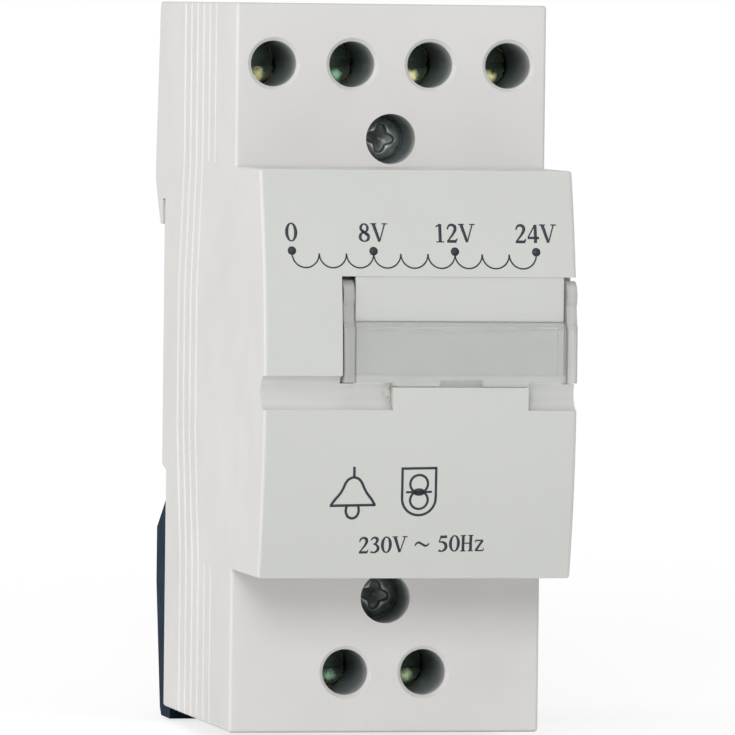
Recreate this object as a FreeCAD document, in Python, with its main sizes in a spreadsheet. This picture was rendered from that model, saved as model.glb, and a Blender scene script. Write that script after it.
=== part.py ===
import FreeCAD
import Part
import Sketcher
import math
import os

# Bell transformer, two modules wide, for a 35 mm mounting rail.
# Frame: X to the right, Y to the back, Z up. The origin is the middle of the rail seat,
# so a depth in front of the rail plane is a negative Y.

SIZES = {
    "housing_width": (36.0, "overall width, two modules"),
    "shoulder_depth": (44.0, "rail plane to the face of the shoulders"),
    "shoulder_height": (18.45, "height of each shoulder above or below the nose"),
    "nose_height": (45.6, "height of the nose"),
    "nose_depth": (59.2, "rail plane to the middle of the nose's front edges"),
    "nose_lean": (0.7, "how far the lower front edge stands forward of the mean, the upper one behind it"),
    "nose_bulge": (3.5, "rise of the curved front over its edges"),
    "parting_depth": (7.5, "rail plane to the joint of base and cover"),
    "cover_wall": (2.0, "end and shoulder walls of the cover"),
    "side_wall": (1.6, "side walls of the cover"),
    "front_wall": (1.7, "nose front edge to the inside of the nose"),
    "side_draft": (0.2, "mould draft of the sides, degrees"),
    "edge_round": (0.4, "rounding of the outer edges"),
    "fit_gap": (0.15, "clearance between base lip and cover"),
    "rail_height": (35.0, "height of the mounting rail"),
    "rail_lip": (1.0, "thickness of the rail's lips"),
    "lip_play": (0.3, "clearance of a lip in the hook"),
    "hook_play": (0.65, "clearance above the upper lip"),
    "hook_overlap": (2.35, "reach of the hook behind the upper lip"),
    "slot_relief": (0.3, "setback of the seat behind the hook, for tilting onto the rail"),
    "relief_lead": (0.15, "reach of that setback below the hook's tip"),
    "hook_tip": (1.5, "thickness of the hook at its tip"),
    "hook_depth": (6.2, "reach of the hook behind the rail plane"),
    "hook_crown": (5.0, "upper lip's edge to the rearmost line of the hook"),
    "top_depth": (4.0, "reach of the top edge behind the rail plane"),
    "seat_drop": (12.9, "rail middle to the lower end of the seat"),
    "step_run": (0.6, "height of the sloped step under the seat"),
    "back_step": (2.7, "setback of the lower back behind the clip"),
    "base_floor": (0.6, "lower back to the floor of the base"),
    "base_lip": (1.2, "wall of the base lip that enters the cover"),
    "lip_rise": (3.0, "reach of the base lip into the cover"),
    "clip_side_gap": (0.8, "setback of the clip's ends from the housing's sides"),
    "clip_gap": (0.2, "running clearance of the clip"),
    "catch_overlap": (0.6, "reach of the catch above the lower lip's edge"),
    "catch_play": (0.2, "clearance under the lower lip"),
    "catch_land": (0.4, "width of the catch's crest"),
    "clip_depth": (7.8, "reach of the clip behind the rail plane"),
    "ramp_drop": (3.7, "height of the snap-on ramp"),
    "belly_drop": (6.6, "height of the clip's full depth below the ramp"),
    "tail_depth": (4.6, "reach of the clip's tail behind the rail plane"),
    "tail_bevel": (0.8, "bevel at the tail's lower edge"),
    "clip_overhang": (1.5, "reach of the tail below the housing"),
    "clip_wall": (1.8, "walls of the clip"),
    "guide_neck": (15.6, "width of the guide tongue's neck"),
    "guide_head": (21.6, "width of the guide tongue's head"),
    "guide_lip": (1.2, "thickness of the base's guide lips"),
    "guide_plate": (1.4, "thickness of the guide tongue's head"),
    "guide_headroom": (2.0, "free height above the guide tongue"),
    "guide_tail": (1.0, "setback of the tongue from the housing's lower end"),
    "spring_outside": (2.6, "outside diameter of the clip spring"),
    "spring_wire": (0.45, "wire of the clip spring"),
    "spring_length": (12.5, "length of the clip spring at rest"),
    "spring_turns": (6.0, "turns of the clip spring"),
    "spring_seat": (34.5, "rail middle down to the spring's seat"),
    "spring_shelf": (2.0, "thickness of the spring's shelf"),
    "spring_play": (0.3, "side clearance of spring and shelf"),
    "pull_width": (6.0, "width of the screwdriver slot in the tail"),
    "pull_height": (2.2, "height of the screwdriver slot in the tail"),
    "row_inset": (6.85, "housing end to the terminal row"),
    "row_margin": (4.5, "housing side to the outer terminal"),
    "well_diameter": (5.2, "screwdriver wells of the terminals"),
    "well_wall": (1.0, "wall of the wells"),
    "well_length": (13.0, "depth of the wells"),
    "well_bevel": (0.4, "bevel at the mouth of the wells"),
    "block_width": (5.2, "terminal block, across the row"),
    "block_height": (7.0, "terminal block, along the wire"),
    "block_depth": (9.0, "terminal block, along its screw"),
    "wire_bore": (3.2, "wire hole of the terminal block"),
    "wire_inset": (3.0, "back of the terminal block to the wire hole"),
    "entry_play": (0.2, "wire entries in the housing ends past the terminal block, each side"),
    "entry_margin": (1.6, "wire entries past the wire hole, to the front and to the back"),
    "terminal_thread": (3.0, "thread of the terminal screws"),
    "terminal_head": (4.8, "head of the terminal screws"),
    "terminal_head_height": (1.9, "head height of the terminal screws"),
    "thread_play": (0.05, "clearance of the screws in their holes"),
    "slot_width": (0.8, "driver slots and recesses"),
    "slot_depth": (0.9, "depth of the driver slots and recesses"),
    "recess_width": (3.1, "width of the cover screws' cross recess"),
    "barrier_wall": (1.4, "ribs between the terminals"),
    "barrier_rise": (0.5, "reach of the ribs past the terminal blocks"),
    "tray_gap": (0.15, "clearance of the terminal trays in the base"),
    "shelf_wall": (1.6, "shelf under the terminal blocks"),
    "shelf_margin": (0.4, "reach of the shelf past the terminal blocks"),
    "screw_offset": (3.2, "nose to the axis of a cover screw"),
    "screw_well": (5.7, "well of a cover screw"),
    "screw_well_depth": (8.0, "depth of the cover screw wells"),
    "screw_floor": (2.0, "floor of the cover screw wells"),
    "screw_boss_wall": (1.2, "wall of the cover screw wells"),
    "screw_post": (6.0, "posts of the base for the cover screws"),
    "screw_thread": (2.9, "thread of the cover screws"),
    "screw_head": (5.2, "head of the cover screws"),
    "screw_head_height": (1.9, "head height of the cover screws"),
    "screw_length": (14.0, "length of the cover screws under the head"),
    "core_stand": (1.7, "joint of base and cover to the core"),
    "core_play": (0.3, "clearance of the core in front"),
    "core_side_play": (0.8, "clearance of the core above and below"),
    "limb": (8.0, "outer limbs and yokes of the core"),
    "centre_limb": (16.0, "middle limb of the core"),
    "rib_wall": (2.0, "ribs of the base under the core"),
    "cradle_rise": (4.0, "reach of the cradle walls beside the core"),
    "cradle_gap": (0.2, "clearance of the core in its cradle"),
    "bobbin_wall": (1.2, "walls and flanges of the bobbin"),
    "bobbin_gap": (0.2, "clearance of the bobbin on the core"),
    "coil_gap": (1.0, "clearance of the bobbin to the side walls"),
    "link_room": (2.2, "bobbin's edge to the winding, room for tape and thermal link"),
    "winding_build": (3.8, "thickness of each winding"),
    "winding_round": (4.0, "corner rounding of the windings"),
    "tape": (0.2, "thickness of the insulation tape"),
    "link_thickness": (1.6, "thermal link, off the winding"),
    "link_width": (8.0, "thermal link, along the housing's depth"),
    "link_length": (7.0, "thermal link, along the winding"),
    "lead_diameter": (1.4, "insulated leads"),
    "lead_bend": (3.0, "bend radius of the leads"),
    "lead_tail": (5.0, "straight run of the leads at the terminals"),
    "lead_pitch": (3.0, "distance between the leads at the bobbin"),
    "lead_inset": (2.3, "front of a terminal block to its lead"),
    "flap_width": (26.6, "label flap, across"),
    "flap_height": (6.7, "label flap's panel"),
    "flap_drop": (0.85, "rail middle down to the panel's lower edge"),
    "flap_inset": (0.15, "setback of the flap from the housing's full width"),
    "flap_proud": (0.05, "reach of the panel past the nose's front"),
    "flap_plate": (1.35, "thickness of the panel"),
    "flap_window": (0.4, "relief behind the panel's window"),
    "flap_rim": (0.9, "rim round the window"),
    "flap_bevel": (0.8, "bevel along the panel's upper edge"),
    "flap_field": (0.2, "depth of the field on the panel's front"),
    "flap_round": (0.45, "rounding of the arms' outer front edges"),
    "flap_gap": (0.15, "clearance round the flap"),
    "flap_arm": (1.3, "thickness of the flap's arms"),
    "arm_relief": (0.6, "rise of the arms' lower edge towards the back"),
    "tab_start": (5.6, "left edge of the flap to its lower tabs"),
    "tab_span": (15.4, "width of the lower tabs together"),
    "tab_drop": (0.35, "reach of the tabs below the panel"),
    "nail_width": (4.9, "width of the nail notch between the tabs"),
    "nail_height": (0.7, "height of the nail notch"),
    "pivot_rise": (2.95, "panel's upper edge to the flap's pivot"),
    "pivot_setback": (2.4, "nose's front to the flap's pivot"),
    "pivot_round": (1.75, "rounded end of the flap's arms"),
    "pin_diameter": (1.4, "pivot pins of the flap"),
    "pin_length": (1.4, "reach of the pivot pins"),
    "pin_play": (0.05, "clearance of the pivot pins"),
    "slot_headroom": (2.15, "pivot to the upper end of the arm slots"),
    "slot_play": (0.2, "clearance behind the arms"),
    "block_setback": (1.25, "nose's front to the flat between the arms"),
    "groove_round": (1.9, "finger groove"),
    "groove_drop": (2.0, "rail middle down to the finger groove"),
    "groove_setback": (0.1, "nose's front to the middle of the groove"),
    "ridge_start": (12.0, "rail plane to the first side ridge"),
    "ridge_pitch": (3.85, "distance between the side ridges"),
    "ridge_depth": (0.19, "step of a side ridge"),
    "ridge_shift": (2.8, "bend of the ridges to the back, beside the nose"),
    "bend_outer": (23.0, "rail middle to the outer end of the bend"),
    "bend_inner": (8.0, "rail middle to the inner end of the bend"),
    "overcut": (1.0, "reach of a cut past the face it opens"),
}

FULL_RIDGE_COUNT = 4
SHORT_RIDGE_COUNT = 2
RECESS_TURN = 6
WIRE_FACES = 6
SECONDARY_TAPS = ("0v", "8v", "12v", "24v")
MAINS_POLES = ("live", "neutral")

doc = FreeCAD.newDocument("bell_transformer")


class Size:
    """A size: its value now, and the formula that ties it to the sheet."""

    def __init__(self, value, text):
        self.value = value
        self.text = text

    def __add__(self, other):
        other = size_of(other)
        return Size(self.value + other.value, f"({self.text} + {other.text})")

    def __sub__(self, other):
        other = size_of(other)
        return Size(self.value - other.value, f"({self.text} - {other.text})")

    def __mul__(self, other):
        other = size_of(other)
        return Size(self.value * other.value, f"({self.text} * {other.text})")

    def __truediv__(self, other):
        other = size_of(other)
        return Size(self.value / other.value, f"({self.text} / {other.text})")

    def __neg__(self):
        return Size(-self.value, f"(0 - {self.text})")


def size_of(number):
    """Turn a plain number into a Size, and leave a Size as it is."""
    if isinstance(number, Size):
        return number
    return Size(float(number), repr(float(number)))


class Sheet:
    """The spreadsheet of driving dimensions, read as attributes."""

    def __init__(self, sizes):
        self.cells = doc.addObject("Spreadsheet::Sheet", "Sizes")
        for row, (name, (value, note)) in enumerate(sizes.items(), start=1):
            self.cells.set(f"A{row}", name)
            self.cells.set(f"B{row}", str(value))
            self.cells.setAlias(f"B{row}", name)
            self.cells.set(f"C{row}", note)
            setattr(self, name, Size(value, f"Sizes.{name}"))
        doc.recompute()


s = Sheet(SIZES)


# Sketches and features

def new_body(label):
    body = doc.addObject("PartDesign::Body", label)
    body.Label = label
    return body


def sketch_on(body, role, offset=None):
    """A sketch on one of the body's own origin planes, moved along its normal."""
    sketch = body.newObject("Sketcher::SketchObject", f"{body.Name}_sketch")
    plane = next(item for item in body.Origin.OriginFeatures if item.Role == role)
    sketch.AttachmentSupport = [(plane, "")]
    sketch.MapMode = "FlatFace"
    if offset is not None:
        sketch.setExpression("AttachmentOffset.Base.z", offset.text)
    return sketch


def bind(sketch, constraint, size):
    index = sketch.addConstraint(constraint)
    sketch.setExpression(f"Constraints[{index}]", size.text)


def place_point(sketch, geometry, vertex, x, y):
    bind(sketch, Sketcher.Constraint("DistanceX", -1, 1, geometry, vertex, x.value), x)
    bind(sketch, Sketcher.Constraint("DistanceY", -1, 1, geometry, vertex, y.value), y)


def outline(sketch, corners, bulged=None, rise=None, radius=None):
    """A closed outline through the corners; one of its sides may be an arc that rises to -X."""
    corners = [(size_of(x), size_of(y)) for x, y in corners]
    points = [FreeCAD.Vector(x.value, y.value, 0) for x, y in corners]
    ends = []
    for side, start in enumerate(points):
        stop = points[(side + 1) % len(points)]
        if side == bulged:
            crest = (start + stop) / 2 - FreeCAD.Vector(rise.value, 0, 0)
            geometry = sketch.addGeometry(Part.Arc(start, crest, stop))
            bind(sketch, Sketcher.Constraint("Radius", geometry, radius.value), radius)
            forward = sketch.getPoint(geometry, 1).distanceToPoint(start) < rise.value
            ends.append((geometry, 1, 2) if forward else (geometry, 2, 1))
        else:
            ends.append((sketch.addGeometry(Part.LineSegment(start, stop)), 1, 2))
    for side, (geometry, first, last) in enumerate(ends):
        before = ends[side - 1]
        sketch.addConstraint(Sketcher.Constraint("Coincident", before[0], before[2], geometry, first))
    for (geometry, first, last), (x, y) in zip(ends, corners):
        place_point(sketch, geometry, first, x, y)


def rectangle(sketch, left, right, low, high):
    outline(sketch, [(left, low), (right, low), (right, high), (left, high)])


def circle(sketch, x, y, radius):
    x, y = size_of(x), size_of(y)
    centre = FreeCAD.Vector(x.value, y.value, 0)
    geometry = sketch.addGeometry(Part.Circle(centre, FreeCAD.Vector(0, 0, 1), radius.value))
    place_point(sketch, geometry, 3, x, y)
    bind(sketch, Sketcher.Constraint("Radius", geometry, radius.value), radius)


def extrude(kind, body, sketch, length, symmetric, turned):
    feature = body.newObject(f"PartDesign::{kind}", f"{body.Name}_{kind.lower()}")
    feature.Profile = sketch
    feature.SideType = "Symmetric" if symmetric else "One side"
    feature.Reversed = turned
    feature.setExpression("Length", size_of(length).text)
    return feature


def pad(body, sketch, length, symmetric=False, turned=False):
    return extrude("Pad", body, sketch, length, symmetric, turned)


def pocket(body, sketch, length, symmetric=False, turned=False):
    return extrude("Pocket", body, sketch, length, symmetric, turned)


def edges_where(feature, wanted):
    """Names of the feature's edges that pass a test."""
    doc.recompute()
    return [f"Edge{i}" for i, edge in enumerate(feature.Shape.Edges, start=1) if wanted(edge)]


def dress(kind, body, feature, edges, size):
    """A fillet or chamfer on named edges."""
    dressed = body.newObject(f"PartDesign::{kind}", f"{body.Name}_{kind.lower()}")
    dressed.Base = (feature, edges)
    dressed.setExpression("Radius" if kind == "Fillet" else "Size", size.text)
    return dressed


def spans(edge):
    """Lengths of an edge's box along X, Y and Z, and the middle of that box."""
    box = edge.BoundBox
    return (box.XLength, box.YLength, box.ZLength), box.Center


def near(a, b, tolerance=0.02):
    return abs(a - b) < tolerance


# Places that several pieces share

half_width = s.housing_width / 2
half_nose = s.nose_height / 2
half_height = half_nose + s.shoulder_height
inner_half_width = half_width - s.side_wall
inner_half_height = half_height - s.cover_wall
nose_top_depth = s.nose_depth - s.nose_lean
nose_bottom_depth = s.nose_depth + s.nose_lean
nose_radius = (half_nose * half_nose + s.nose_bulge * s.nose_bulge) / (s.nose_bulge * 2)
nose_face = s.nose_depth + s.nose_bulge
nose_floor = s.nose_depth - s.front_wall
shoulder_floor = s.shoulder_depth - s.cover_wall

row_height = half_height - s.row_inset
row_pitch = (s.housing_width - s.row_margin * 2) / (len(SECONDARY_TAPS) - 1)
secondary_row = [row_pitch * place + s.row_margin - half_width for place in range(len(SECONDARY_TAPS))]
mains_row = secondary_row[1:3]
well_end = s.shoulder_depth - s.well_length
block_front = well_end - s.terminal_head_height - s.thread_play
block_back = block_front - s.block_depth
wire_depth = block_back + s.wire_inset

base_floor_depth = s.back_step + s.base_floor
root_depth = s.back_step + s.base_floor / 2

screw_height = half_nose + s.screw_offset
screw_seat = s.shoulder_depth - s.screw_well_depth
screw_floor_end = screw_seat - s.screw_floor

lip_edge = s.rail_height / 2
clip_front = s.back_step - s.clip_gap
clip_half_width = half_width - s.clip_side_gap
clip_ledge = lip_edge + s.catch_play
clip_bottom = half_height + s.clip_overhang
guide_floor = s.back_step + s.guide_lip + s.guide_plate + s.clip_gap * 2
guide_top = clip_ledge - s.guide_headroom
tongue_low = half_height - s.guide_tail
spring_depth = (guide_floor + clip_front) / 2

core_back = s.parting_depth + s.core_stand
core_front = nose_floor - s.core_play
core_half_height = half_nose - s.cover_wall - s.core_side_play
flange_x = inner_half_width - s.coil_gap
winding_x = flange_x - s.link_room
tube_x = winding_x - s.winding_build
tube_inner_x = tube_x - s.bobbin_wall
core_half_stack = tube_inner_x - s.bobbin_gap
core_middle = (core_back + core_front) / 2
half_centre = s.centre_limb / 2
window_half_height = core_half_height - s.limb

flap_right = half_width - s.flap_inset
flap_left = flap_right - s.flap_width
flap_bottom = -s.flap_drop
flap_top = flap_bottom + s.flap_height
flap_front = nose_face + s.flap_proud
flap_back = flap_front - s.flap_plate
pivot_height = flap_top + s.pivot_rise
pivot_depth = nose_face - s.pivot_setback
slot_floor = pivot_depth - s.pivot_round - s.slot_play
slot_top = pivot_height + s.slot_headroom
tab_left = flap_left + s.tab_start
tab_right = tab_left + s.tab_span
arm_inner_left = flap_left + s.flap_arm
arm_inner_right = flap_right - s.flap_arm


# Front cover

def ridge_section(body, height, first, count, shift):
    """Section of the side ridges: each steps in at 45 degrees and slopes back out."""
    sketch = sketch_on(body, "XY_Plane", height)
    outside = -(half_width + s.overcut)
    start = shift - (s.ridge_start + s.ridge_pitch * first)
    corners = [(outside, start)]
    for tooth in range(count):
        line = start - s.ridge_pitch * tooth
        corners.append((-half_width, line))
        corners.append((s.ridge_depth - half_width, line - s.ridge_depth))
    stop = start - s.ridge_pitch * count
    corners.append((-half_width, stop))
    corners.append((outside, stop))
    outline(sketch, corners)
    return sketch


def cut_side_ridges(body):
    """Long ridges that bend to the back beside the nose, short ones on the shoulders, both sides."""
    end = half_height + s.overcut
    stations = [
        (-end, size_of(0)),
        (-s.bend_outer, size_of(0)),
        (-s.bend_inner, s.ridge_shift),
        (s.bend_inner, s.ridge_shift),
        (s.bend_outer, size_of(0)),
        (end, size_of(0)),
    ]
    sections = [ridge_section(body, z, 0, FULL_RIDGE_COUNT, shift) for z, shift in stations]
    loft = body.newObject("PartDesign::SubtractiveLoft", "long_ridges")
    loft.Profile = sections[0]
    loft.Sections = sections[1:]
    loft.Ruled = True
    cuts = [loft]
    for low in (s.bend_outer, -end):
        sketch = ridge_section(body, low, FULL_RIDGE_COUNT, SHORT_RIDGE_COUNT, size_of(0))
        cuts.append(pocket(body, sketch, end - s.bend_outer, turned=True))
    doc.recompute()
    mirrored = body.newObject("PartDesign::Mirrored", "right_ridges")
    mirrored.Originals = cuts
    plane = next(item for item in body.Origin.OriginFeatures if item.Role == "YZ_Plane")
    mirrored.MirrorPlane = (plane, [""])
    body.Tip = mirrored


def cover_blank(body):
    """The outer form: shoulders and curved nose, drafted sides, rounded edges."""
    profile = sketch_on(body, "YZ_Plane")
    outline(profile, [
        (-s.parting_depth, -half_height),
        (-s.shoulder_depth, -half_height),
        (-s.shoulder_depth, -half_nose),
        (-nose_bottom_depth, -half_nose),
        (-nose_top_depth, half_nose),
        (-s.shoulder_depth, half_nose),
        (-s.shoulder_depth, half_height),
        (-s.parting_depth, half_height),
    ], bulged=3, rise=s.nose_bulge, radius=nose_radius)
    blank = pad(body, profile, s.housing_width, symmetric=True)
    doc.recompute()

    faces = blank.Shape.Faces
    sides = [f"Face{i}" for i, face in enumerate(faces, 1) if near(face.BoundBox.XLength, 0)]
    joint = [f"Face{i}" for i, face in enumerate(faces, 1)
             if near(face.BoundBox.YLength, 0) and near(face.CenterOfMass.y, -s.parting_depth.value)]
    drafted = body.newObject("PartDesign::Draft", "cover_draft")
    drafted.Base = (blank, sides)
    drafted.NeutralPlane = (blank, joint)
    drafted.setExpression("Angle", s.side_draft.text)
    doc.recompute()
    front_width = max(v.X for v in drafted.Shape.Vertexes if v.Y < -s.shoulder_depth.value - s.overcut.value)
    drafted.Reversed = front_width > half_width.value
    doc.recompute()

    def outer_edge(edge):
        lengths, middle = spans(edge)
        on_joint = near(middle.y, -s.parting_depth.value) and near(lengths[1], 0)
        in_corner = near(middle.y, -s.shoulder_depth.value) and near(abs(middle.z), half_nose.value)
        return not on_joint and not in_corner

    return dress("Fillet", body, drafted, edges_where(drafted, outer_edge), s.edge_round)


def hollow_cover(body):
    """The inside: one stepped hollow, open at the joint with the base."""
    inside = sketch_on(body, "YZ_Plane")
    low_nose = half_nose - s.cover_wall
    outline(inside, [
        (s.overcut - s.parting_depth, -inner_half_height),
        (-shoulder_floor, -inner_half_height),
        (-shoulder_floor, -low_nose),
        (-nose_floor, -low_nose),
        (-nose_floor, low_nose),
        (-shoulder_floor, low_nose),
        (-shoulder_floor, inner_half_height),
        (s.overcut - s.parting_depth, inner_half_height),
    ])
    pocket(body, inside, inner_half_width * 2, symmetric=True)


def well_places():
    upper = [(x, row_height) for x in secondary_row]
    lower = [(x, -row_height) for x in mains_row]
    return upper + lower


def screw_places():
    return [(size_of(0), screw_height), (size_of(0), -screw_height)]


def add_wells(body):
    """Screwdriver wells over the terminals and stepped wells for the cover screws."""
    inside_wall = s.shoulder_depth - s.cover_wall / 2
    tubes = sketch_on(body, "XZ_Plane", inside_wall)
    for x, z in well_places():
        circle(tubes, x, z, s.well_diameter / 2 + s.well_wall)
    pad(body, tubes, inside_wall - well_end, turned=True)
    bosses = sketch_on(body, "XZ_Plane", inside_wall)
    for x, z in screw_places():
        circle(bosses, x, z, s.screw_well / 2 + s.screw_boss_wall)
    pad(body, bosses, inside_wall - screw_floor_end, turned=True)

    holes = sketch_on(body, "XZ_Plane", s.shoulder_depth)
    for x, z in well_places():
        circle(holes, x, z, s.well_diameter / 2)
    pocket(body, holes, s.well_length)
    seats = sketch_on(body, "XZ_Plane", s.shoulder_depth)
    for x, z in screw_places():
        circle(seats, x, z, s.screw_well / 2)
    pocket(body, seats, s.screw_well_depth)
    passages = sketch_on(body, "XZ_Plane", screw_seat)
    for x, z in screw_places():
        circle(passages, x, z, s.screw_thread / 2 + s.fit_gap)
    drilled = pocket(body, passages, s.screw_floor + s.overcut)

    def mouth(edge):
        lengths, middle = spans(edge)
        at_face = near(lengths[1], 0) and near(middle.y, -s.shoulder_depth.value)
        return at_face and near(lengths[0], s.well_diameter.value)

    dress("Chamfer", body, drilled, edges_where(drilled, mouth), s.well_bevel)


def add_wire_entries(body):
    """Rectangular wire entries in both ends, in line with the terminals."""
    half_wide = s.block_width / 2 + s.entry_play
    half_deep = s.wire_bore / 2 + s.entry_margin
    for row, end, turned in ((secondary_row, half_height, False), (mains_row, -half_height, True)):
        entries = sketch_on(body, "XY_Plane", end)
        for x in row:
            rectangle(entries, x - half_wide, x + half_wide, -wire_depth - half_deep, half_deep - wire_depth)
        pocket(body, entries, s.cover_wall + s.fit_gap, turned=turned)


def cut_flap_seat(body):
    """Seat of the label flap: panel recess, arm slots, flat between the arms, pin holes, grooves."""
    reach = nose_face + s.overcut
    outside = half_width + s.overcut
    low = flap_bottom - s.flap_gap
    high = flap_top + s.flap_gap
    panel = sketch_on(body, "XZ_Plane", flap_back - s.flap_gap)
    rectangle(panel, flap_left - s.flap_gap, outside, low, high)
    pocket(body, panel, reach - flap_back + s.flap_gap, turned=True)
    tabs = sketch_on(body, "XZ_Plane", flap_back - s.flap_gap)
    rectangle(tabs, tab_left - s.flap_gap, tab_right + s.flap_gap, low - s.tab_drop, high)
    pocket(body, tabs, reach - flap_back + s.flap_gap, turned=True)
    flat = sketch_on(body, "XZ_Plane", nose_face - s.block_setback)
    rectangle(flat, flap_left - s.flap_gap, outside, flap_bottom, slot_top)
    pocket(body, flat, s.block_setback + s.overcut, turned=True)
    slots = sketch_on(body, "XZ_Plane", slot_floor)
    rectangle(slots, flap_left - s.flap_gap, arm_inner_left + s.flap_gap, low, slot_top)
    rectangle(slots, arm_inner_right - s.flap_gap, outside, low, slot_top)
    pocket(body, slots, reach - slot_floor, turned=True)

    hole = s.pin_diameter / 2 + s.pin_play
    left_hole = sketch_on(body, "YZ_Plane", arm_inner_left)
    circle(left_hole, -pivot_depth, pivot_height, hole)
    pocket(body, left_hole, s.pin_length + s.flap_gap, turned=True)
    right_hole = sketch_on(body, "YZ_Plane", arm_inner_right)
    circle(right_hole, -pivot_depth, pivot_height, hole)
    pocket(body, right_hole, s.pin_length + s.flap_gap)

    for side, start, length in ((True, -outside, outside + tab_left), (False, outside, outside - tab_right)):
        groove = sketch_on(body, "YZ_Plane", start)
        circle(groove, s.groove_setback - nose_face, -s.groove_drop, s.groove_round)
        pocket(body, groove, length, turned=side)


def make_front_cover():
    body = new_body("front_cover")
    cover_blank(body)
    hollow_cover(body)
    add_wells(body)
    add_wire_entries(body)
    cut_flap_seat(body)
    cut_side_ridges(body)


# Rear base

def base_blank(body):
    """Profile of the base: rail hook, seat, step and lower back."""
    hook_inner = s.rail_lip + s.lip_play
    hook_low = lip_edge - s.hook_overlap
    crown = lip_edge + s.hook_crown
    profile = sketch_on(body, "YZ_Plane")
    outline(profile, [
        (-s.parting_depth, half_height),
        (-s.parting_depth, -half_height),
        (-s.back_step, -half_height),
        (-s.back_step, -(s.seat_drop + s.step_run)),
        (0, -s.seat_drop),
        (0, hook_low - s.relief_lead),
        (-s.slot_relief, hook_low - s.relief_lead),
        (-s.slot_relief, lip_edge + s.hook_play),
        (hook_inner, lip_edge + s.hook_play),
        (hook_inner, hook_low),
        (hook_inner + s.hook_tip, hook_low),
        (s.hook_depth, crown - s.hook_overlap),
        (s.hook_depth, crown),
        (s.top_depth, half_height),
    ])
    blank = pad(body, profile, s.housing_width, symmetric=True)

    def back_corner(edge):
        lengths, middle = spans(edge)
        at_end = near(abs(middle.z), half_height.value) and near(lengths[2], 0)
        return at_end and near(abs(middle.x), half_width.value) and near(lengths[0], 0)

    return dress("Fillet", body, blank, edges_where(blank, back_corner), s.edge_round)


def add_base_inside(body):
    """Hollow, lip into the cover, screw posts, core ribs and terminal shelves."""
    hollow = sketch_on(body, "XZ_Plane", s.parting_depth)
    rectangle(hollow, -inner_half_width, inner_half_width, base_floor_depth - s.seat_drop, inner_half_height)
    pocket(body, hollow, s.parting_depth - base_floor_depth)

    lip = sketch_on(body, "XZ_Plane", root_depth)
    wide = inner_half_width - s.fit_gap
    tall = inner_half_height - s.fit_gap
    rectangle(lip, -wide, wide, -tall, tall)
    rectangle(lip, s.base_lip - wide, wide - s.base_lip, s.base_lip - tall, tall - s.base_lip)
    pad(body, lip, s.parting_depth + s.lip_rise - root_depth)

    posts = sketch_on(body, "XZ_Plane", root_depth)
    for x, z in screw_places():
        circle(posts, x, z, s.screw_post / 2)
    pad(body, posts, screw_floor_end - root_depth)

    ribs = sketch_on(body, "XZ_Plane", root_depth)
    for side in (-1, 1):
        middle = (core_half_stack - s.rib_wall) * side
        rectangle(ribs, middle - s.rib_wall / 2, middle + s.rib_wall / 2, -core_half_height, core_half_height)
    pad(body, ribs, core_back - root_depth)
    cradle = sketch_on(body, "XZ_Plane", root_depth)
    near_side = core_half_height + s.cradle_gap
    for low, high in ((near_side, near_side + s.rib_wall), (-(near_side + s.rib_wall), -near_side)):
        rectangle(cradle, -core_half_stack, core_half_stack, low, high)
    pad(body, cradle, core_back + s.cradle_rise - root_depth)


def cut_clip_guide(body):
    """T-shaped guide for the clip's tongue, its spring shelf, and the pilot holes of the posts."""
    guide = sketch_on(body, "XY_Plane", -(half_height + s.overcut))
    neck = s.guide_neck / 2 + s.clip_gap
    head = s.guide_head / 2 + s.clip_gap
    under_lip = s.back_step + s.guide_lip
    outline(guide, [
        (-neck, s.overcut - s.back_step),
        (-neck, -under_lip),
        (-head, -under_lip),
        (-head, -guide_floor),
        (head, -guide_floor),
        (head, -under_lip),
        (neck, -under_lip),
        (neck, s.overcut - s.back_step),
    ])
    pocket(body, guide, half_height + s.overcut - guide_top, turned=True)
    shelf = sketch_on(body, "XZ_Plane", guide_floor + s.clip_gap)
    reach = s.spring_outside / 2
    rectangle(shelf, -reach, reach, -(s.spring_seat + s.spring_shelf), -s.spring_seat)
    pad(body, shelf, guide_floor - clip_front + s.clip_gap - s.spring_play, turned=True)
    pilots = sketch_on(body, "XZ_Plane", screw_floor_end)
    for x, z in screw_places():
        circle(pilots, x, z, s.screw_thread / 2 + s.thread_play)
    pocket(body, pilots, s.screw_length - s.screw_floor + s.overcut)


def make_rear_base():
    body = new_body("rear_base")
    base_blank(body)
    add_base_inside(body)
    cut_clip_guide(body)


# Terminal trays

def make_terminal_tray(label, middle, floor, end):
    """A tray that stands on the base: ribs between the terminal blocks and a shelf under them."""
    body = new_body(label)
    reach = s.block_height / 2 + s.shelf_margin
    foot = inner_half_height - s.fit_gap - s.base_lip - s.tray_gap - row_height
    half_rib = s.barrier_wall / 2
    low, high = (-reach, foot) if middle.value > 0 else (-foot, reach)
    shelf = sketch_on(body, "XZ_Plane", block_back)
    rectangle(shelf, -end, end, middle - reach, middle + reach)
    pad(body, shelf, s.shelf_wall, turned=True)
    ribs = sketch_on(body, "XZ_Plane", floor)
    for x in (-row_pitch, size_of(0), row_pitch):
        rectangle(ribs, x - half_rib, x + half_rib, middle + low, middle + high)
    pad(body, ribs, block_front + s.barrier_rise - floor)
    return body, middle + low, middle + high


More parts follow.
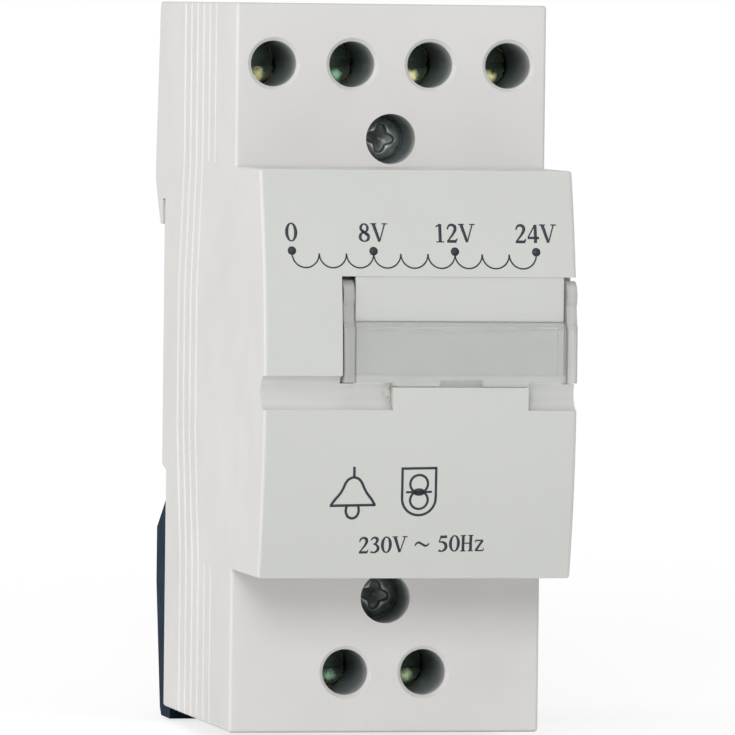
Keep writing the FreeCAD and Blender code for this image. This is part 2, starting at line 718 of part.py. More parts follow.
def make_terminal_trays():
    """The upper tray for four terminals, with end walls, and the lower one for two."""
    inside_lip = inner_half_width - s.fit_gap - s.base_lip - s.tray_gap
    shelf_end = inner_half_width - s.fit_gap
    upper, low, high = make_terminal_tray("upper_terminal_tray", row_height, base_floor_depth, shelf_end)
    ends = sketch_on(upper, "XZ_Plane", base_floor_depth)
    rectangle(ends, -inside_lip, s.barrier_wall - inside_lip, low, high)
    rectangle(ends, inside_lip - s.barrier_wall, inside_lip, low, high)
    pad(upper, ends, block_back - base_floor_depth)
    make_terminal_tray("lower_terminal_tray", -row_height, s.parting_depth, row_pitch + s.barrier_wall / 2)


# Rail clip and its spring

def make_rail_clip():
    body = new_body("rail_clip")
    crest = lip_edge - s.catch_overlap
    catch_depth = s.rail_lip + s.lip_play
    ramp_end = crest + s.ramp_drop
    belly_end = ramp_end + s.belly_drop
    profile = sketch_on(body, "YZ_Plane")
    outline(profile, [
        (-clip_front, -clip_bottom),
        (-clip_front, -clip_ledge),
        (catch_depth, -clip_ledge),
        (catch_depth, -crest),
        (catch_depth + s.catch_land, -crest),
        (s.clip_depth, -ramp_end),
        (s.clip_depth, -belly_end),
        (s.tail_depth, s.tail_bevel - clip_bottom),
        (s.tail_depth - s.tail_bevel, -clip_bottom),
    ])
    blank = pad(body, profile, clip_half_width * 2, symmetric=True)

    def rear_edge(edge):
        lengths, middle = spans(edge)
        at_end = near(abs(middle.x), clip_half_width.value) and near(lengths[0], 0)
        return at_end and middle.y > catch_depth.value + s.catch_land.value

    dress("Fillet", body, blank, edges_where(blank, rear_edge), s.edge_round)

    hollow = sketch_on(body, "YZ_Plane")
    roof = clip_ledge + s.clip_wall
    outline(hollow, [
        (s.clip_wall - clip_front, -(clip_bottom + s.overcut)),
        (s.clip_wall - clip_front, -roof),
        (catch_depth, -roof),
        (s.clip_depth - s.clip_wall, -(ramp_end + s.clip_wall)),
        (s.clip_depth - s.clip_wall, -belly_end),
        (s.tail_depth - s.clip_wall - s.tail_bevel, -(clip_bottom + s.overcut)),
    ])
    pocket(body, hollow, (clip_half_width - s.clip_wall) * 2, symmetric=True)

    tongue_top = -(clip_ledge + s.clip_gap)
    neck_end = s.back_step + s.guide_lip + s.clip_gap
    neck = sketch_on(body, "XZ_Plane", clip_front - s.clip_gap)
    rectangle(neck, -s.guide_neck / 2, s.guide_neck / 2, -tongue_low, tongue_top)
    pad(body, neck, neck_end - clip_front + s.clip_gap)
    head = sketch_on(body, "XZ_Plane", neck_end)
    rectangle(head, -s.guide_head / 2, s.guide_head / 2, -tongue_low, tongue_top)
    pad(body, head, s.guide_plate)

    window = sketch_on(body, "XZ_Plane", neck_end + s.guide_plate)
    reach = s.spring_outside / 2 + s.spring_play
    shelf_low = s.spring_seat + s.spring_shelf
    rectangle(window, -reach, reach, -(shelf_low + s.clip_gap), s.spring_length - s.spring_seat)
    pocket(body, window, neck_end + s.guide_plate - clip_front)

    pull = sketch_on(body, "XZ_Plane", size_of(0))
    pull_low = s.tail_bevel + s.clip_wall / 2 - clip_bottom
    rectangle(pull, -s.pull_width / 2, s.pull_width / 2, pull_low, pull_low + s.pull_height)
    pocket(body, pull, s.clip_depth + s.overcut)


def make_clip_spring():
    """Coil of round wire from the base's shelf up to the clip."""
    helix = doc.addObject("Part::Helix", "spring_path")
    rise = s.spring_length - s.spring_wire
    helix.setExpression("Radius", ((s.spring_outside - s.spring_wire) / 2).text)
    helix.setExpression("Height", rise.text)
    helix.setExpression("Pitch", (rise / s.spring_turns).text)
    low = s.spring_wire / 2 - s.spring_seat
    section = doc.addObject("Part::RegularPolygon", "spring_section")
    section.Polygon = WIRE_FACES
    section.setExpression("Circumradius", (s.spring_wire / 2).text)
    section.Placement.Rotation = FreeCAD.Rotation(FreeCAD.Vector(1, 0, 0), 90)
    for item, x in ((helix, size_of(0)), (section, (s.spring_outside - s.spring_wire) / 2)):
        item.setExpression("Placement.Base.x", x.text)
        item.setExpression("Placement.Base.y", (-spring_depth).text)
        item.setExpression("Placement.Base.z", low.text)
    spring = doc.addObject("Part::Sweep", "clip_spring")
    spring.Sections = [section]
    spring.Spine = (helix, [])
    spring.Solid = True
    spring.Frenet = True
    spring.Label = "clip_spring"


# Label flap

def make_label_flap():
    body = new_body("label_flap")
    nail_left = tab_left + (s.tab_span - s.nail_width) / 2
    nail_right = nail_left + s.nail_width
    tab_low = flap_bottom - s.tab_drop
    panel = sketch_on(body, "XZ_Plane", flap_back)
    outline(panel, [
        (flap_left, flap_bottom),
        (tab_left, flap_bottom),
        (tab_left, tab_low),
        (nail_left, tab_low),
        (nail_left, tab_low + s.nail_height),
        (nail_right, tab_low + s.nail_height),
        (nail_right, tab_low),
        (tab_right, tab_low),
        (tab_right, flap_bottom),
        (flap_right, flap_bottom),
        (flap_right, flap_top),
        (flap_left, flap_top),
    ])
    plate = pad(body, panel, s.flap_plate)

    def upper_front(edge):
        lengths, middle = spans(edge)
        at_front = near(middle.y, -flap_front.value) and near(middle.z, flap_top.value)
        return at_front and lengths[0] > s.flap_arm.value

    def outer_front(edge):
        lengths, middle = spans(edge)
        at_end = near(middle.x, flap_left.value) or near(middle.x, flap_right.value)
        return at_end and near(middle.y, -flap_front.value) and lengths[2] > s.flap_bevel.value

    bevelled = dress("Chamfer", body, plate, edges_where(plate, upper_front), s.flap_bevel)
    dress("Fillet", body, bevelled, edges_where(bevelled, outer_front), s.flap_round)

    low = flap_bottom + s.flap_rim
    field = sketch_on(body, "XZ_Plane", flap_front - s.flap_field)
    rectangle(field, arm_inner_left, arm_inner_right, low, flap_top - s.flap_bevel - s.flap_field)
    pocket(body, field, s.flap_field + s.overcut, turned=True)
    window = sketch_on(body, "XZ_Plane", flap_back)
    rectangle(window, arm_inner_left, arm_inner_right - s.flap_rim, low, flap_top - s.flap_bevel)
    pocket(body, window, s.flap_window, turned=True)

    arm_front = pivot_depth + s.pivot_round
    arm_back = pivot_depth - s.pivot_round
    for start in (flap_left, arm_inner_right):
        arm = sketch_on(body, "YZ_Plane", start)
        outline(arm, [
            (-flap_back, flap_bottom),
            (-arm_back, flap_bottom + s.arm_relief),
            (-arm_back, pivot_height),
            (-flap_back, pivot_height),
            (-arm_front, flap_top),
            (-flap_back, flap_top - s.flap_bevel),
        ])
        pad(body, arm, s.flap_arm)
        knuckle = sketch_on(body, "YZ_Plane", start)
        circle(knuckle, -pivot_depth, pivot_height, s.pivot_round)
        pad(body, knuckle, s.flap_arm)
    for start, turned in ((arm_inner_left, False), (arm_inner_right, True)):
        pin = sketch_on(body, "YZ_Plane", start)
        circle(pin, -pivot_depth, pivot_height, s.pin_diameter / 2)
        pad(body, pin, s.pin_length, turned=turned)


# Plain solids of the inside

def set_place(item, x, y, z):
    for axis, size in (("x", x), ("y", y), ("z", z)):
        item.setExpression(f"Placement.Base.{axis}", size_of(size).text)


def box(name, low, lengths):
    item = doc.addObject("Part::Box", name)
    for side, size in zip(("Length", "Width", "Height"), lengths):
        item.setExpression(side, size.text)
    set_place(item, *low)
    return item


def rod(name, start, direction, radius, length):
    """A cylinder from a start point, along +Y or +Z."""
    item = doc.addObject("Part::Cylinder", name)
    item.setExpression("Radius", radius.text)
    item.setExpression("Height", length.text)
    if direction == "+Y":
        item.Placement.Rotation = FreeCAD.Rotation(FreeCAD.Vector(1, 0, 0), -90)
    set_place(item, *start)
    return item


def fuse(name, items):
    item = doc.addObject("Part::MultiFuse", name)
    item.Shapes = items
    return item


def cut(name, base, tool):
    item = doc.addObject("Part::Cut", name)
    item.Base = base
    item.Tool = tool
    return item


def group(label, items):
    item = doc.addObject("Part::Compound", label)
    item.Links = items
    item.Label = label


def make_core():
    """E-shaped and I-shaped lamination stacks, with the middle limb through the bobbin."""
    e_body = new_body("core_e")
    comb = sketch_on(e_body, "YZ_Plane")
    limb_ends = [
        (core_back, core_back + s.limb),
        (core_middle - half_centre, core_middle + half_centre),
        (core_front - s.limb, core_front),
    ]
    corners = [(-core_back, -core_half_height)]
    for place, (near_end, far_end) in enumerate(limb_ends):
        if place > 0:
            corners.append((-near_end, -window_half_height))
        corners.append((-near_end, window_half_height))
        corners.append((-far_end, window_half_height))
        if place < len(limb_ends) - 1:
            corners.append((-far_end, -window_half_height))
    corners.append((-core_front, -core_half_height))
    outline(comb, corners)
    pad(e_body, comb, core_half_stack * 2, symmetric=True)
    i_body = new_body("core_i")
    bar = sketch_on(i_body, "YZ_Plane")
    rectangle(bar, -core_front, -core_back, window_half_height, core_half_height)
    pad(i_body, bar, core_half_stack * 2, symmetric=True)


tube_inner_y = half_centre + s.bobbin_gap
tube_y = tube_inner_y + s.bobbin_wall
winding_y = tube_y + s.winding_build
window_width = core_front - s.limb - core_middle - half_centre
flange_y = half_centre + window_width - s.bobbin_gap
coil_end = window_half_height - s.bobbin_gap
half_flange = s.bobbin_wall / 2


def coil_rectangle(sketch, half_x, half_y):
    rectangle(sketch, -half_x, half_x, -core_middle - half_y, half_y - core_middle)


def make_bobbin():
    """Two-chamber bobbin: a square tube with flanges at both ends and in the middle."""
    body = new_body("bobbin")
    tube = sketch_on(body, "XY_Plane")
    coil_rectangle(tube, tube_x, tube_y)
    coil_rectangle(tube, tube_inner_x, tube_inner_y)
    pad(body, tube, coil_end * 2, symmetric=True)
    for low in (-coil_end, -half_flange, coil_end - s.bobbin_wall):
        flange = sketch_on(body, "XY_Plane", low)
        coil_rectangle(flange, flange_x, flange_y)
        coil_rectangle(flange, tube_inner_x, tube_inner_y)
        pad(body, flange, s.bobbin_wall)
    notch_low = -(coil_end + s.overcut)
    notches = sketch_on(body, "XY_Plane", notch_low)
    slack = s.lead_diameter / 2 + s.bobbin_gap
    for side in (-1, 1):
        inner, outer = winding_x + s.tape, flange_x + s.overcut
        left, right = (inner, outer) if side > 0 else (-outer, -inner)
        rectangle(notches, left, right, -core_middle - slack, slack - core_middle)
    pocket(body, notches, s.bobbin_wall + s.overcut * 2, turned=True)


def coil_outline(sketch, half_x, half_y, radius):
    """An outline about the bobbin's axis with four tangent corner arcs."""
    arcs = []
    for quarter, (right, front) in enumerate(((1, 1), (-1, 1), (-1, -1), (1, -1))):
        x = (half_x - radius) * right
        y = (half_y - radius) * front - core_middle
        round_corner = Part.Circle(FreeCAD.Vector(x.value, y.value, 0), FreeCAD.Vector(0, 0, 1), radius.value)
        swing = math.pi / 2
        arc = sketch.addGeometry(Part.ArcOfCircle(round_corner, swing * quarter, swing * (quarter + 1)))
        place_point(sketch, arc, 3, x, y)
        bind(sketch, Sketcher.Constraint("Radius", arc, radius.value), radius)
        arcs.append(arc)
    for arc, following in zip(arcs, arcs[1:] + arcs[:1]):
        ends = sketch.getPoint(arc, 2), sketch.getPoint(following, 1)
        side = sketch.addGeometry(Part.LineSegment(*ends))
        sketch.addConstraint(Sketcher.Constraint("Tangent", arc, 2, side, 1))
        sketch.addConstraint(Sketcher.Constraint("Tangent", side, 2, following, 1))


def make_windings():
    """A winding and its tape in each chamber, as rings with rounded corners."""
    height = coil_end - s.bobbin_wall - half_flange
    chambers = (("primary", -(coil_end - s.bobbin_wall)), ("secondary", half_flange))
    for name, low in chambers:
        winding = new_body(f"{name}_winding")
        copper = sketch_on(winding, "XY_Plane", low)
        coil_outline(copper, winding_x, winding_y, s.winding_round)
        coil_rectangle(copper, tube_x, tube_y)
        pad(winding, copper, height)
        tape = new_body(f"{name}_tape")
        wrap = sketch_on(tape, "XY_Plane", low)
        coil_outline(wrap, winding_x + s.tape, winding_y + s.tape, s.winding_round + s.tape)
        coil_outline(wrap, winding_x, winding_y, s.winding_round)
        pad(tape, wrap, height)


link_x = winding_x + s.tape
link_low = -(coil_end - s.bobbin_wall)


def make_thermal_link():
    low = (link_x, -core_middle - s.link_width / 2, link_low)
    case = box("link_case", low, (s.link_thickness, s.link_width, s.link_length))
    case.Label = "thermal_link"


def make_terminals():
    """Brass blocks with a wire hole and a tapped hole, and their screws."""
    rows = [(f"terminal_{name}", x, row_height) for name, x in zip(SECONDARY_TAPS, secondary_row)]
    rows += [(f"terminal_{name}", x, -row_height) for name, x in zip(MAINS_POLES, mains_row)]
    screws = []
    head = s.terminal_head / 2
    seat = block_front + s.thread_play
    for label, x, z in rows:
        low_z = z - s.block_height / 2
        low = (x - s.block_width / 2, -block_front, low_z)
        brass = box(f"{label}_brass", low, (s.block_width, s.block_depth, s.block_height))
        wire = rod(f"{label}_wire", (x, -wire_depth, low_z - s.overcut), "+Z",
                   s.wire_bore / 2, s.block_height + s.overcut * 2)
        tapped = rod(f"{label}_tapped", (x, -(block_front + s.overcut), z), "+Y",
                     s.terminal_thread / 2 + s.thread_play, block_front - wire_depth + s.overcut)
        block = cut(label, brass, fuse(f"{label}_holes", [wire, tapped]))
        block.Label = label
        top_depth = seat + s.terminal_head_height
        top = rod(f"{label}_head", (x, -top_depth, z), "+Y", head, s.terminal_head_height)
        shank_length = seat - wire_depth - s.wire_bore / 2
        shank = rod(f"{label}_shank", (x, -seat, z), "+Y", s.terminal_thread / 2, shank_length)
        slot_low = (x - head, -top_depth, z - s.slot_width / 2)
        slot = box(f"{label}_slot", slot_low, (head * 2, s.slot_depth, s.slot_width))
        screws.append(cut(f"{label}_screw", fuse(f"{label}_blank", [top, shank]), slot))
    group("terminal_screws", screws)


def make_cover_screws():
    """Two cross-recess screws that hold the cover to the posts of the base."""
    screws = []
    head_end = screw_seat + s.screw_head_height
    half_recess = s.recess_width / 2
    turn = FreeCAD.Rotation(FreeCAD.Vector(0, 1, 0), RECESS_TURN)
    cosine = math.cos(math.radians(RECESS_TURN))
    sine = math.sin(math.radians(RECESS_TURN))
    for place, (x, z) in zip(("upper", "lower"), screw_places()):
        name = f"{place}_screw"
        head = rod(f"{name}_head", (x, -head_end, z), "+Y", s.screw_head / 2, s.screw_head_height)
        shank = rod(f"{name}_shank", (x, -screw_seat, z), "+Y", s.screw_thread / 2, s.screw_length)
        recesses = []
        for wide, tall in ((half_recess, s.slot_width / 2), (s.slot_width / 2, half_recess)):
            low = (x - wide * cosine - tall * sine, -head_end, z + wide * sine - tall * cosine)
            bar = box(f"{name}_recess", low, (wide * 2, s.slot_depth, tall * 2))
            bar.Placement = FreeCAD.Placement(bar.Placement.Base, turn)
            recesses.append(bar)
        recess = fuse(f"{name}_cross", recesses)
        screws.append(cut(name, fuse(f"{name}_blank", [head, shank]), recess))
    group("cover_screws", screws)


# Leads

def tangent_path(points, radius):
    """Straight runs joined by tangent arcs of one radius, as one wire."""
    edges = []
    start = points[0]
    for before, corner, after in zip(points, points[1:], points[2:]):
        back = (before - corner).normalize()
        ahead = (after - corner).normalize()
        turn = math.pi - back.getAngle(ahead)
        reach = radius * math.tan(turn / 2)
        enter, leave = corner + back * reach, corner + ahead * reach
        towards = (back + ahead).normalize()
        crest = corner + towards * (radius / math.cos(turn / 2) - radius)
        edges.append(Part.LineSegment(start, enter).toShape())
        edges.append(Part.Arc(enter, crest, leave).toShape())
        start = leave
    edges.append(Part.LineSegment(start, points[-1]).toShape())
    return Part.Wire(edges)


def make_lead(label, start, stop, side):
    """A round lead from the bobbin past the core, then across to the face of its terminal."""
    first = FreeCAD.Vector(*(size.value for size in start))
    last = FreeCAD.Vector(*(size.value for size in stop))
    past_core = core_half_height.value * side
    points = [
        first,
        FreeCAD.Vector(first.x, first.y, past_core),
        FreeCAD.Vector(last.x, last.y, last.z - s.lead_tail.value * side),
        last,
    ]
    path = tangent_path(points, s.lead_bend.value)
    turns = [2 * math.pi * face / WIRE_FACES for face in range(WIRE_FACES + 1)]
    radius = s.lead_diameter.value / 2
    rim = [first + FreeCAD.Vector(math.cos(turn), math.sin(turn), 0) * radius for turn in turns]
    profile = Part.makePolygon(rim)
    item = doc.addObject("Part::Feature", label)
    item.Shape = path.makePipeShell([profile], True, False)
    item.Label = label


def make_leads():
    end_depth = -(block_front - s.lead_inset)
    end_height = row_height - s.block_height / 2
    outer_x = flange_x - s.lead_diameter
    inner_x = outer_x - s.lead_pitch
    starts = (-outer_x, -inner_x, inner_x, outer_x)
    for name, x, start_x in zip(SECONDARY_TAPS, secondary_row, starts):
        make_lead(f"lead_{name}", (start_x, -core_middle, coil_end), (x, end_depth, end_height), 1)
    lead_x = link_x + s.link_thickness / 2
    for name, x, start_x in zip(MAINS_POLES, mains_row, (-lead_x, lead_x)):
        make_lead(f"lead_{name}", (start_x, -core_middle, link_low), (x, end_depth, -end_height), -1)


# The whole part

def main():
    make_front_cover()
    make_rear_base()
    make_terminal_trays()
    make_rail_clip()
    make_clip_spring()
    make_label_flap()
    make_core()
    make_bobbin()
    make_windings()
    make_thermal_link()
    make_terminals()
    make_cover_screws()
    make_leads()
    doc.recompute()

    faults = []
    for item in doc.Objects:
        if "Invalid" in item.State or "Error" in item.State:
            faults.append(f"{item.Label}: {item.State}")
    taps = SECONDARY_TAPS + MAINS_POLES
    nodes = ["front_cover", "rear_base", "rail_clip", "clip_spring", "label_flap"]
    nodes += ["upper_terminal_tray", "lower_terminal_tray"]
    nodes += ["core_e", "core_i", "bobbin", "primary_winding", "primary_tape"]
    nodes += ["secondary_winding", "secondary_tape", "thermal_link"]
    nodes += [f"terminal_{name}" for name in taps] + ["terminal_screws", "cover_screws"]
    nodes += [f"lead_{name}" for name in taps]
    shapes = {}
    for node in nodes:
        shape = doc.getObjectsByLabel(node)[0].Shape
        if shape.isNull() or not shape.isValid():
            faults.append(f"{node}: bad shape")
        shapes[node] = shape
    if faults:
        raise RuntimeError("; ".join(faults))

    os.makedirs("parts", exist_ok=True)
    for node, shape in shapes.items():
        shape.exportStep(f"parts/{node}.step")
        print(node, len(shape.Solids), "solids", round(shape.Volume, 1), "mm3")


main()
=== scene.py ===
import logging
import math
from dataclasses import dataclass, field, replace
from enum import Enum

import bpy
import numpy as np
from mathutils import Matrix, Vector


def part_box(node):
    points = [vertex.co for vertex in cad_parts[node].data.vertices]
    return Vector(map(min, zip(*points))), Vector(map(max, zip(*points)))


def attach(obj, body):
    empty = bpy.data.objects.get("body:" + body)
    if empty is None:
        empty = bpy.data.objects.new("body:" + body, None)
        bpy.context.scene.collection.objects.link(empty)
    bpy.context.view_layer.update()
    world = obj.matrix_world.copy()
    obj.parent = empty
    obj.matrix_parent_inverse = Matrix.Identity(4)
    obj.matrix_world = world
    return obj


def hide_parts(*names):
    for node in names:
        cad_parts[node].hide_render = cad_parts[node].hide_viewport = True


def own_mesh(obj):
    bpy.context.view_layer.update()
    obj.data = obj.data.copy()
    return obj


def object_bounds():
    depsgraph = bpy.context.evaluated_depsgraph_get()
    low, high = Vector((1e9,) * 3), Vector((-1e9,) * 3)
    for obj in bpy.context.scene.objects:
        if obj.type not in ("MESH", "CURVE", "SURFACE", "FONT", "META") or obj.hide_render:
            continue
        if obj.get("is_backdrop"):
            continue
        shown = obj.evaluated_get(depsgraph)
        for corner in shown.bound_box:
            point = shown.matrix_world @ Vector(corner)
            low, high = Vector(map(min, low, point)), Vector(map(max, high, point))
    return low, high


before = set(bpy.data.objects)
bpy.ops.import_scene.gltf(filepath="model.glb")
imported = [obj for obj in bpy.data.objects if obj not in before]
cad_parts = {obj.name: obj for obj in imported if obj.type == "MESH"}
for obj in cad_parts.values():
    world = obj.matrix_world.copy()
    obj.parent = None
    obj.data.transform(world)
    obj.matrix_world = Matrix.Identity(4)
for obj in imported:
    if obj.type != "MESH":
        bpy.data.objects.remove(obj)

# Looks of a rail-mounted bell transformer. Lengths are in metres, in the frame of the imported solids.

# A ramp has the values of a pattern at its start and its end, and the height at that end.
Colour = tuple[float, float, float]
Place = tuple[float, float, float]
Ramp = tuple[float, float, float]
Pair = tuple[float, float]
Mesh = tuple[np.ndarray, np.ndarray]
Socket = bpy.types.NodeSocket
log = logging.getLogger("bell_transformer")
WHITE = (1.0, 1.0, 1.0, 1.0)

# The wave texture turns by this angle for each unit of length, and noise mostly lies between these values.
WAVE_TURN = 20.0
NOISE_LOW, NOISE_HIGH = 0.3, 0.7

# Numbers of the mix node's sockets for colours.
MIX_FIRST, MIX_SECOND, MIX_RESULT = 6, 7, 2


class Nodes:
    """A node tree, with short calls that add nodes and give back their outputs."""

    def __init__(self, tree: bpy.types.NodeTree) -> None:
        """Keep the tree that nodes are added to."""
        self.tree = tree

    def feed(self, target: Socket, value: object) -> None:
        """Join an output to an input, or set a constant on it.

        Args:
            target: the input.
            value: an output, or a constant.
        """
        if isinstance(value, Socket):
            self.tree.links.new(value, target)
        else:
            target.default_value = value

    def node(self, kind: str, output: str | int, inputs: dict[str | int, object],
             **settings: object) -> Socket:
        """Add a node.

        Args:
            kind: Blender's name of the node type, without the words that all shader nodes share.
            output: name or number of the output that is wanted.
            inputs: for each input, an output to join to it or a constant to set on it.
            settings: properties of the node.

        Returns:
            The wanted output.
        """
        node = self.tree.nodes.new("ShaderNode" + kind)
        for name, value in settings.items():
            setattr(node, name, value)
        for name, value in inputs.items():
            self.feed(node.inputs[name], value)
        return node.outputs[output]

    def calculate(self, operation: str, first: Socket, second: Socket | float = 0.0,
                  clamp: bool = False) -> Socket:
        """Combine two patterns, or a pattern and a number, kept between 0 and 1 where clamp is set."""
        return self.node("Math", "Value", {0: first, 1: second}, operation=operation, use_clamp=clamp)

    def mix(self, factor: Socket, first: Socket, second: Socket) -> Socket:
        """Mix two shaders: a factor of 0 shows the first, and 1 the second."""
        return self.node("MixShader", "Shader", {0: factor, 1: first, 2: second})

    def seen(self) -> Socket:
        """1 for rays from the camera, from a mirroring surface or through clear plastic.

        Returns:
            The sum of the three tests, no more than 1.
        """
        total = self.node("LightPath", "Is Camera Ray", {})
        for test in ("Is Glossy Ray", "Is Transmission Ray"):
            total = self.calculate("ADD", total, self.node("LightPath", test, {}), clamp=True)
        return total


class Graph(Nodes):
    """Node tree of one material, with patterns on the object's own coordinates."""

    def __init__(self, name: str) -> None:
        """Start a material with a principled shader.

        Args:
            name: name of the material.
        """
        self.material = bpy.data.materials.new(name)
        self.material.use_nodes = True
        super().__init__(self.material.node_tree)
        self.shader = self.tree.nodes["Principled BSDF"]
        self.place = self.node("TexCoord", "Object", {})

    def stretched(self, scale: Place) -> Socket:
        """Object coordinates with each axis scaled."""
        return self.node("Mapping", "Vector", {"Scale": scale, "Vector": self.place})

    def noise(self, size: float, detail: float = 2.0, place: Socket | None = None) -> Socket:
        """Cloudy noise from 0 to 1, with features of a size and some finer octaves."""
        inputs = {"Scale": 1.0 / size, "Detail": detail, "Vector": place or self.place}
        return self.node("TexNoise", "Fac", inputs)

    def bands(self, axis: str, pitch: float, waver: float) -> Socket:
        """Bands from 0 to 1 across an axis, one pitch apart and bent by a waver."""
        inputs = {"Scale": 2 * math.pi / (WAVE_TURN * pitch), "Distortion": waver, "Vector": self.place}
        return self.node("TexWave", "Fac", inputs, wave_type="BANDS", bands_direction=axis)

    def ramp(self, factor: Socket, start: float, end: float, top: float, foot: float = 0.0) -> Socket:
        """Go from a foot to a top value while a pattern goes from a start to an end value.

        Args:
            factor: the pattern.
            start: its value where the result is at the foot.
            end: its value where the result is at the top.
            top: the top value.
            foot: the foot value.

        Returns:
            The risen values.
        """
        limits = {"From Min": start, "From Max": end, "To Min": foot, "To Max": top}
        return self.node("MapRange", "Result", {"Value": factor, **limits})

    def between(self, factor: Socket, low: float, high: float) -> Socket:
        """Spread the middle of a 0 to 1 pattern between two values."""
        return self.ramp(factor, NOISE_LOW, NOISE_HIGH, high, low)

    def blend(self, factor: Socket, first: Colour | Socket, second: Colour) -> Socket:
        """Mix two colours by a pattern.

        Args:
            factor: 0 for the first colour, 1 for the second.
            first: a colour, or an earlier mix.
            second: a colour.

        Returns:
            The mixed colour.
        """
        start = (*first, 1.0) if isinstance(first, tuple) else first
        inputs = {"Factor": factor, MIX_FIRST: start, MIX_SECOND: (*second, 1.0)}
        return self.node("Mix", MIX_RESULT, inputs, data_type="RGBA")

    def along(self, axis: str, source: Socket | None = None) -> Socket:
        """One coordinate of a vector, or of the object's own coordinates where none is given."""
        return self.node("SeparateXYZ", axis, {"Vector": source or self.place})

    def distance(self, point: Place) -> Socket:
        """How far the surface is from a point in the object's own coordinates."""
        return self.node("VectorMath", "Value", {0: self.place, 1: point}, operation="DISTANCE")

    def off(self, source: Socket, value: float) -> Socket:
        """How far a pattern is from a value, to either side."""
        return self.calculate("ABSOLUTE", self.calculate("SUBTRACT", source, value))

    def relief(self, height: Socket, depth: float, under: Socket | None = None) -> Socket:
        """Bump of a depth from a height pattern, lying on an earlier bump where one is given."""
        inputs = {"Distance": depth, "Height": height} | ({"Normal": under} if under else {})
        return self.node("Bump", "Normal", inputs)

    def crevices(self, reach: float) -> Socket:
        """Openness of the surface: 1 in the open, and less where other surfaces are within reach."""
        return self.node("AmbientOcclusion", "AO", {"Distance": reach}, samples=8)

    def surface(self, shader: Socket) -> None:
        """Show a shader on the surface."""
        self.feed(self.tree.nodes["Material Output"].inputs["Surface"], shader)

    def finish(self, **inputs: object) -> bpy.types.Material:
        """Feed the principled shader.

        Args:
            inputs: outputs or constants, named as its inputs are, with an underscore for each space.

        Returns:
            The finished material.
        """
        for name, value in inputs.items():
            self.feed(self.shader.inputs[name.replace("_", " ")], value)
        return self.material


def scaled(colour: Colour, factor: float) -> Colour:
    """A colour made lighter or darker."""
    return colour[0] * factor, colour[1] * factor, colour[2] * factor


@dataclass(frozen=True)
class MouldedPlastic:
    """Opaque moulding with a spark-eroded surface, slight tone drift, a darker tone in its corners and painted
    shade deep in wells.
    """

    name: str
    colour: Colour
    corner_tone: Colour
    deep: Colour
    rough: float = 0.5
    rough_run: Pair = (-0.04, 0.05)
    grain: float = 0.00016
    depth: float = 0.000006
    gloss: float = 0.5
    drift: float = 0.03
    drift_size: float = 0.012
    corner: float = 0.0009
    corner_ramp: Ramp = (0.75, 0.15, 0.5)
    well: float = 0.007
    shaded: Ramp = (0.42, 0.10, 0.85)
    wave_size: float = 0.006
    wave_share: float = 3.0
    gloss_size: float = 0.004

    def colours(self, graph: Graph) -> Socket:
        """Tone drift in wide clouds, a darker tone in corners and painted shade deep in wells.

        Args:
            graph: the material's node tree.

        Returns:
            The mixed colour.
        """
        tone = graph.between(graph.noise(self.drift_size, detail=3.0), 0.0, 1.0)
        dark, light = scaled(self.colour, 1.0 - self.drift), scaled(self.colour, 1.0 + self.drift)
        colour = graph.blend(tone, dark, light)
        # A darker tone wherever other surfaces are close by.
        colour = graph.blend(graph.ramp(graph.crevices(self.corner), *self.corner_ramp), colour, self.corner_tone)
        # Painted shade: the deep colour where the surface lies deep in a well.
        return graph.blend(graph.ramp(graph.crevices(self.well), *self.shaded), colour, self.deep)

    def material(self) -> bpy.types.Material:
        """The colours over long waves and a fine grain.

        Returns:
            The finished material.
        """
        graph = Graph(self.name)
        colour = self.colours(graph)
        rough = graph.between(graph.noise(self.gloss_size), *(self.rough + run for run in self.rough_run))
        waves = graph.relief(graph.noise(self.wave_size, detail=1.0), self.depth * self.wave_share)
        normal = graph.relief(graph.noise(self.grain), self.depth, waves)
        return graph.finish(Base_Color=colour, Roughness=rough, Normal=normal, IOR=1.5,
                            Specular_IOR_Level=self.gloss)


@dataclass(frozen=True)
class ShadedAndSmudgedPlastic(MouldedPlastic):
    """Moulding with painted shade on its front, and a smudge of dirt in one corner."""

    front: float = -0.0585
    front_run: float = 0.0015
    facing: Ramp = (-0.80, -0.95, 1.0)
    front_shade: Colour = (0.60, 0.615, 0.585)
    most_front_shade: float = 0.75
    smudge: Place = (-0.0025, -0.0607, -0.0019)
    smudge_reach: float = 0.0018
    speck: float = 0.0005
    specks: Ramp = (0.48, 0.58, 1.0)
    dirt: Colour = (0.16, 0.12, 0.07)
    most_dirt: float = 0.9

    def colours(self, graph: Graph) -> Socket:
        """The moulding's colours, with painted shade on forward-facing surfaces past a depth, and dirty specks
        round one point.

        Args:
            graph: the material's node tree.

        Returns:
            The mixed colour.
        """
        colour = super().colours(graph)
        # Painted shade: forward-facing surfaces past a depth, on the nose's front, turn darker and greener.
        facing = graph.ramp(graph.along("Y", graph.node("TexCoord", "Normal", {})), *self.facing)
        past = graph.ramp(graph.along("Y"), self.front + self.front_run, self.front, self.most_front_shade)
        colour = graph.blend(graph.calculate("MULTIPLY", facing, past), colour, self.front_shade)
        near = graph.ramp(graph.distance(self.smudge), self.smudge_reach, 0.0, self.most_dirt)
        specks = graph.ramp(graph.noise(self.speck, detail=3.0), *self.specks)
        return graph.blend(graph.calculate("MULTIPLY", near, specks), colour, self.dirt)


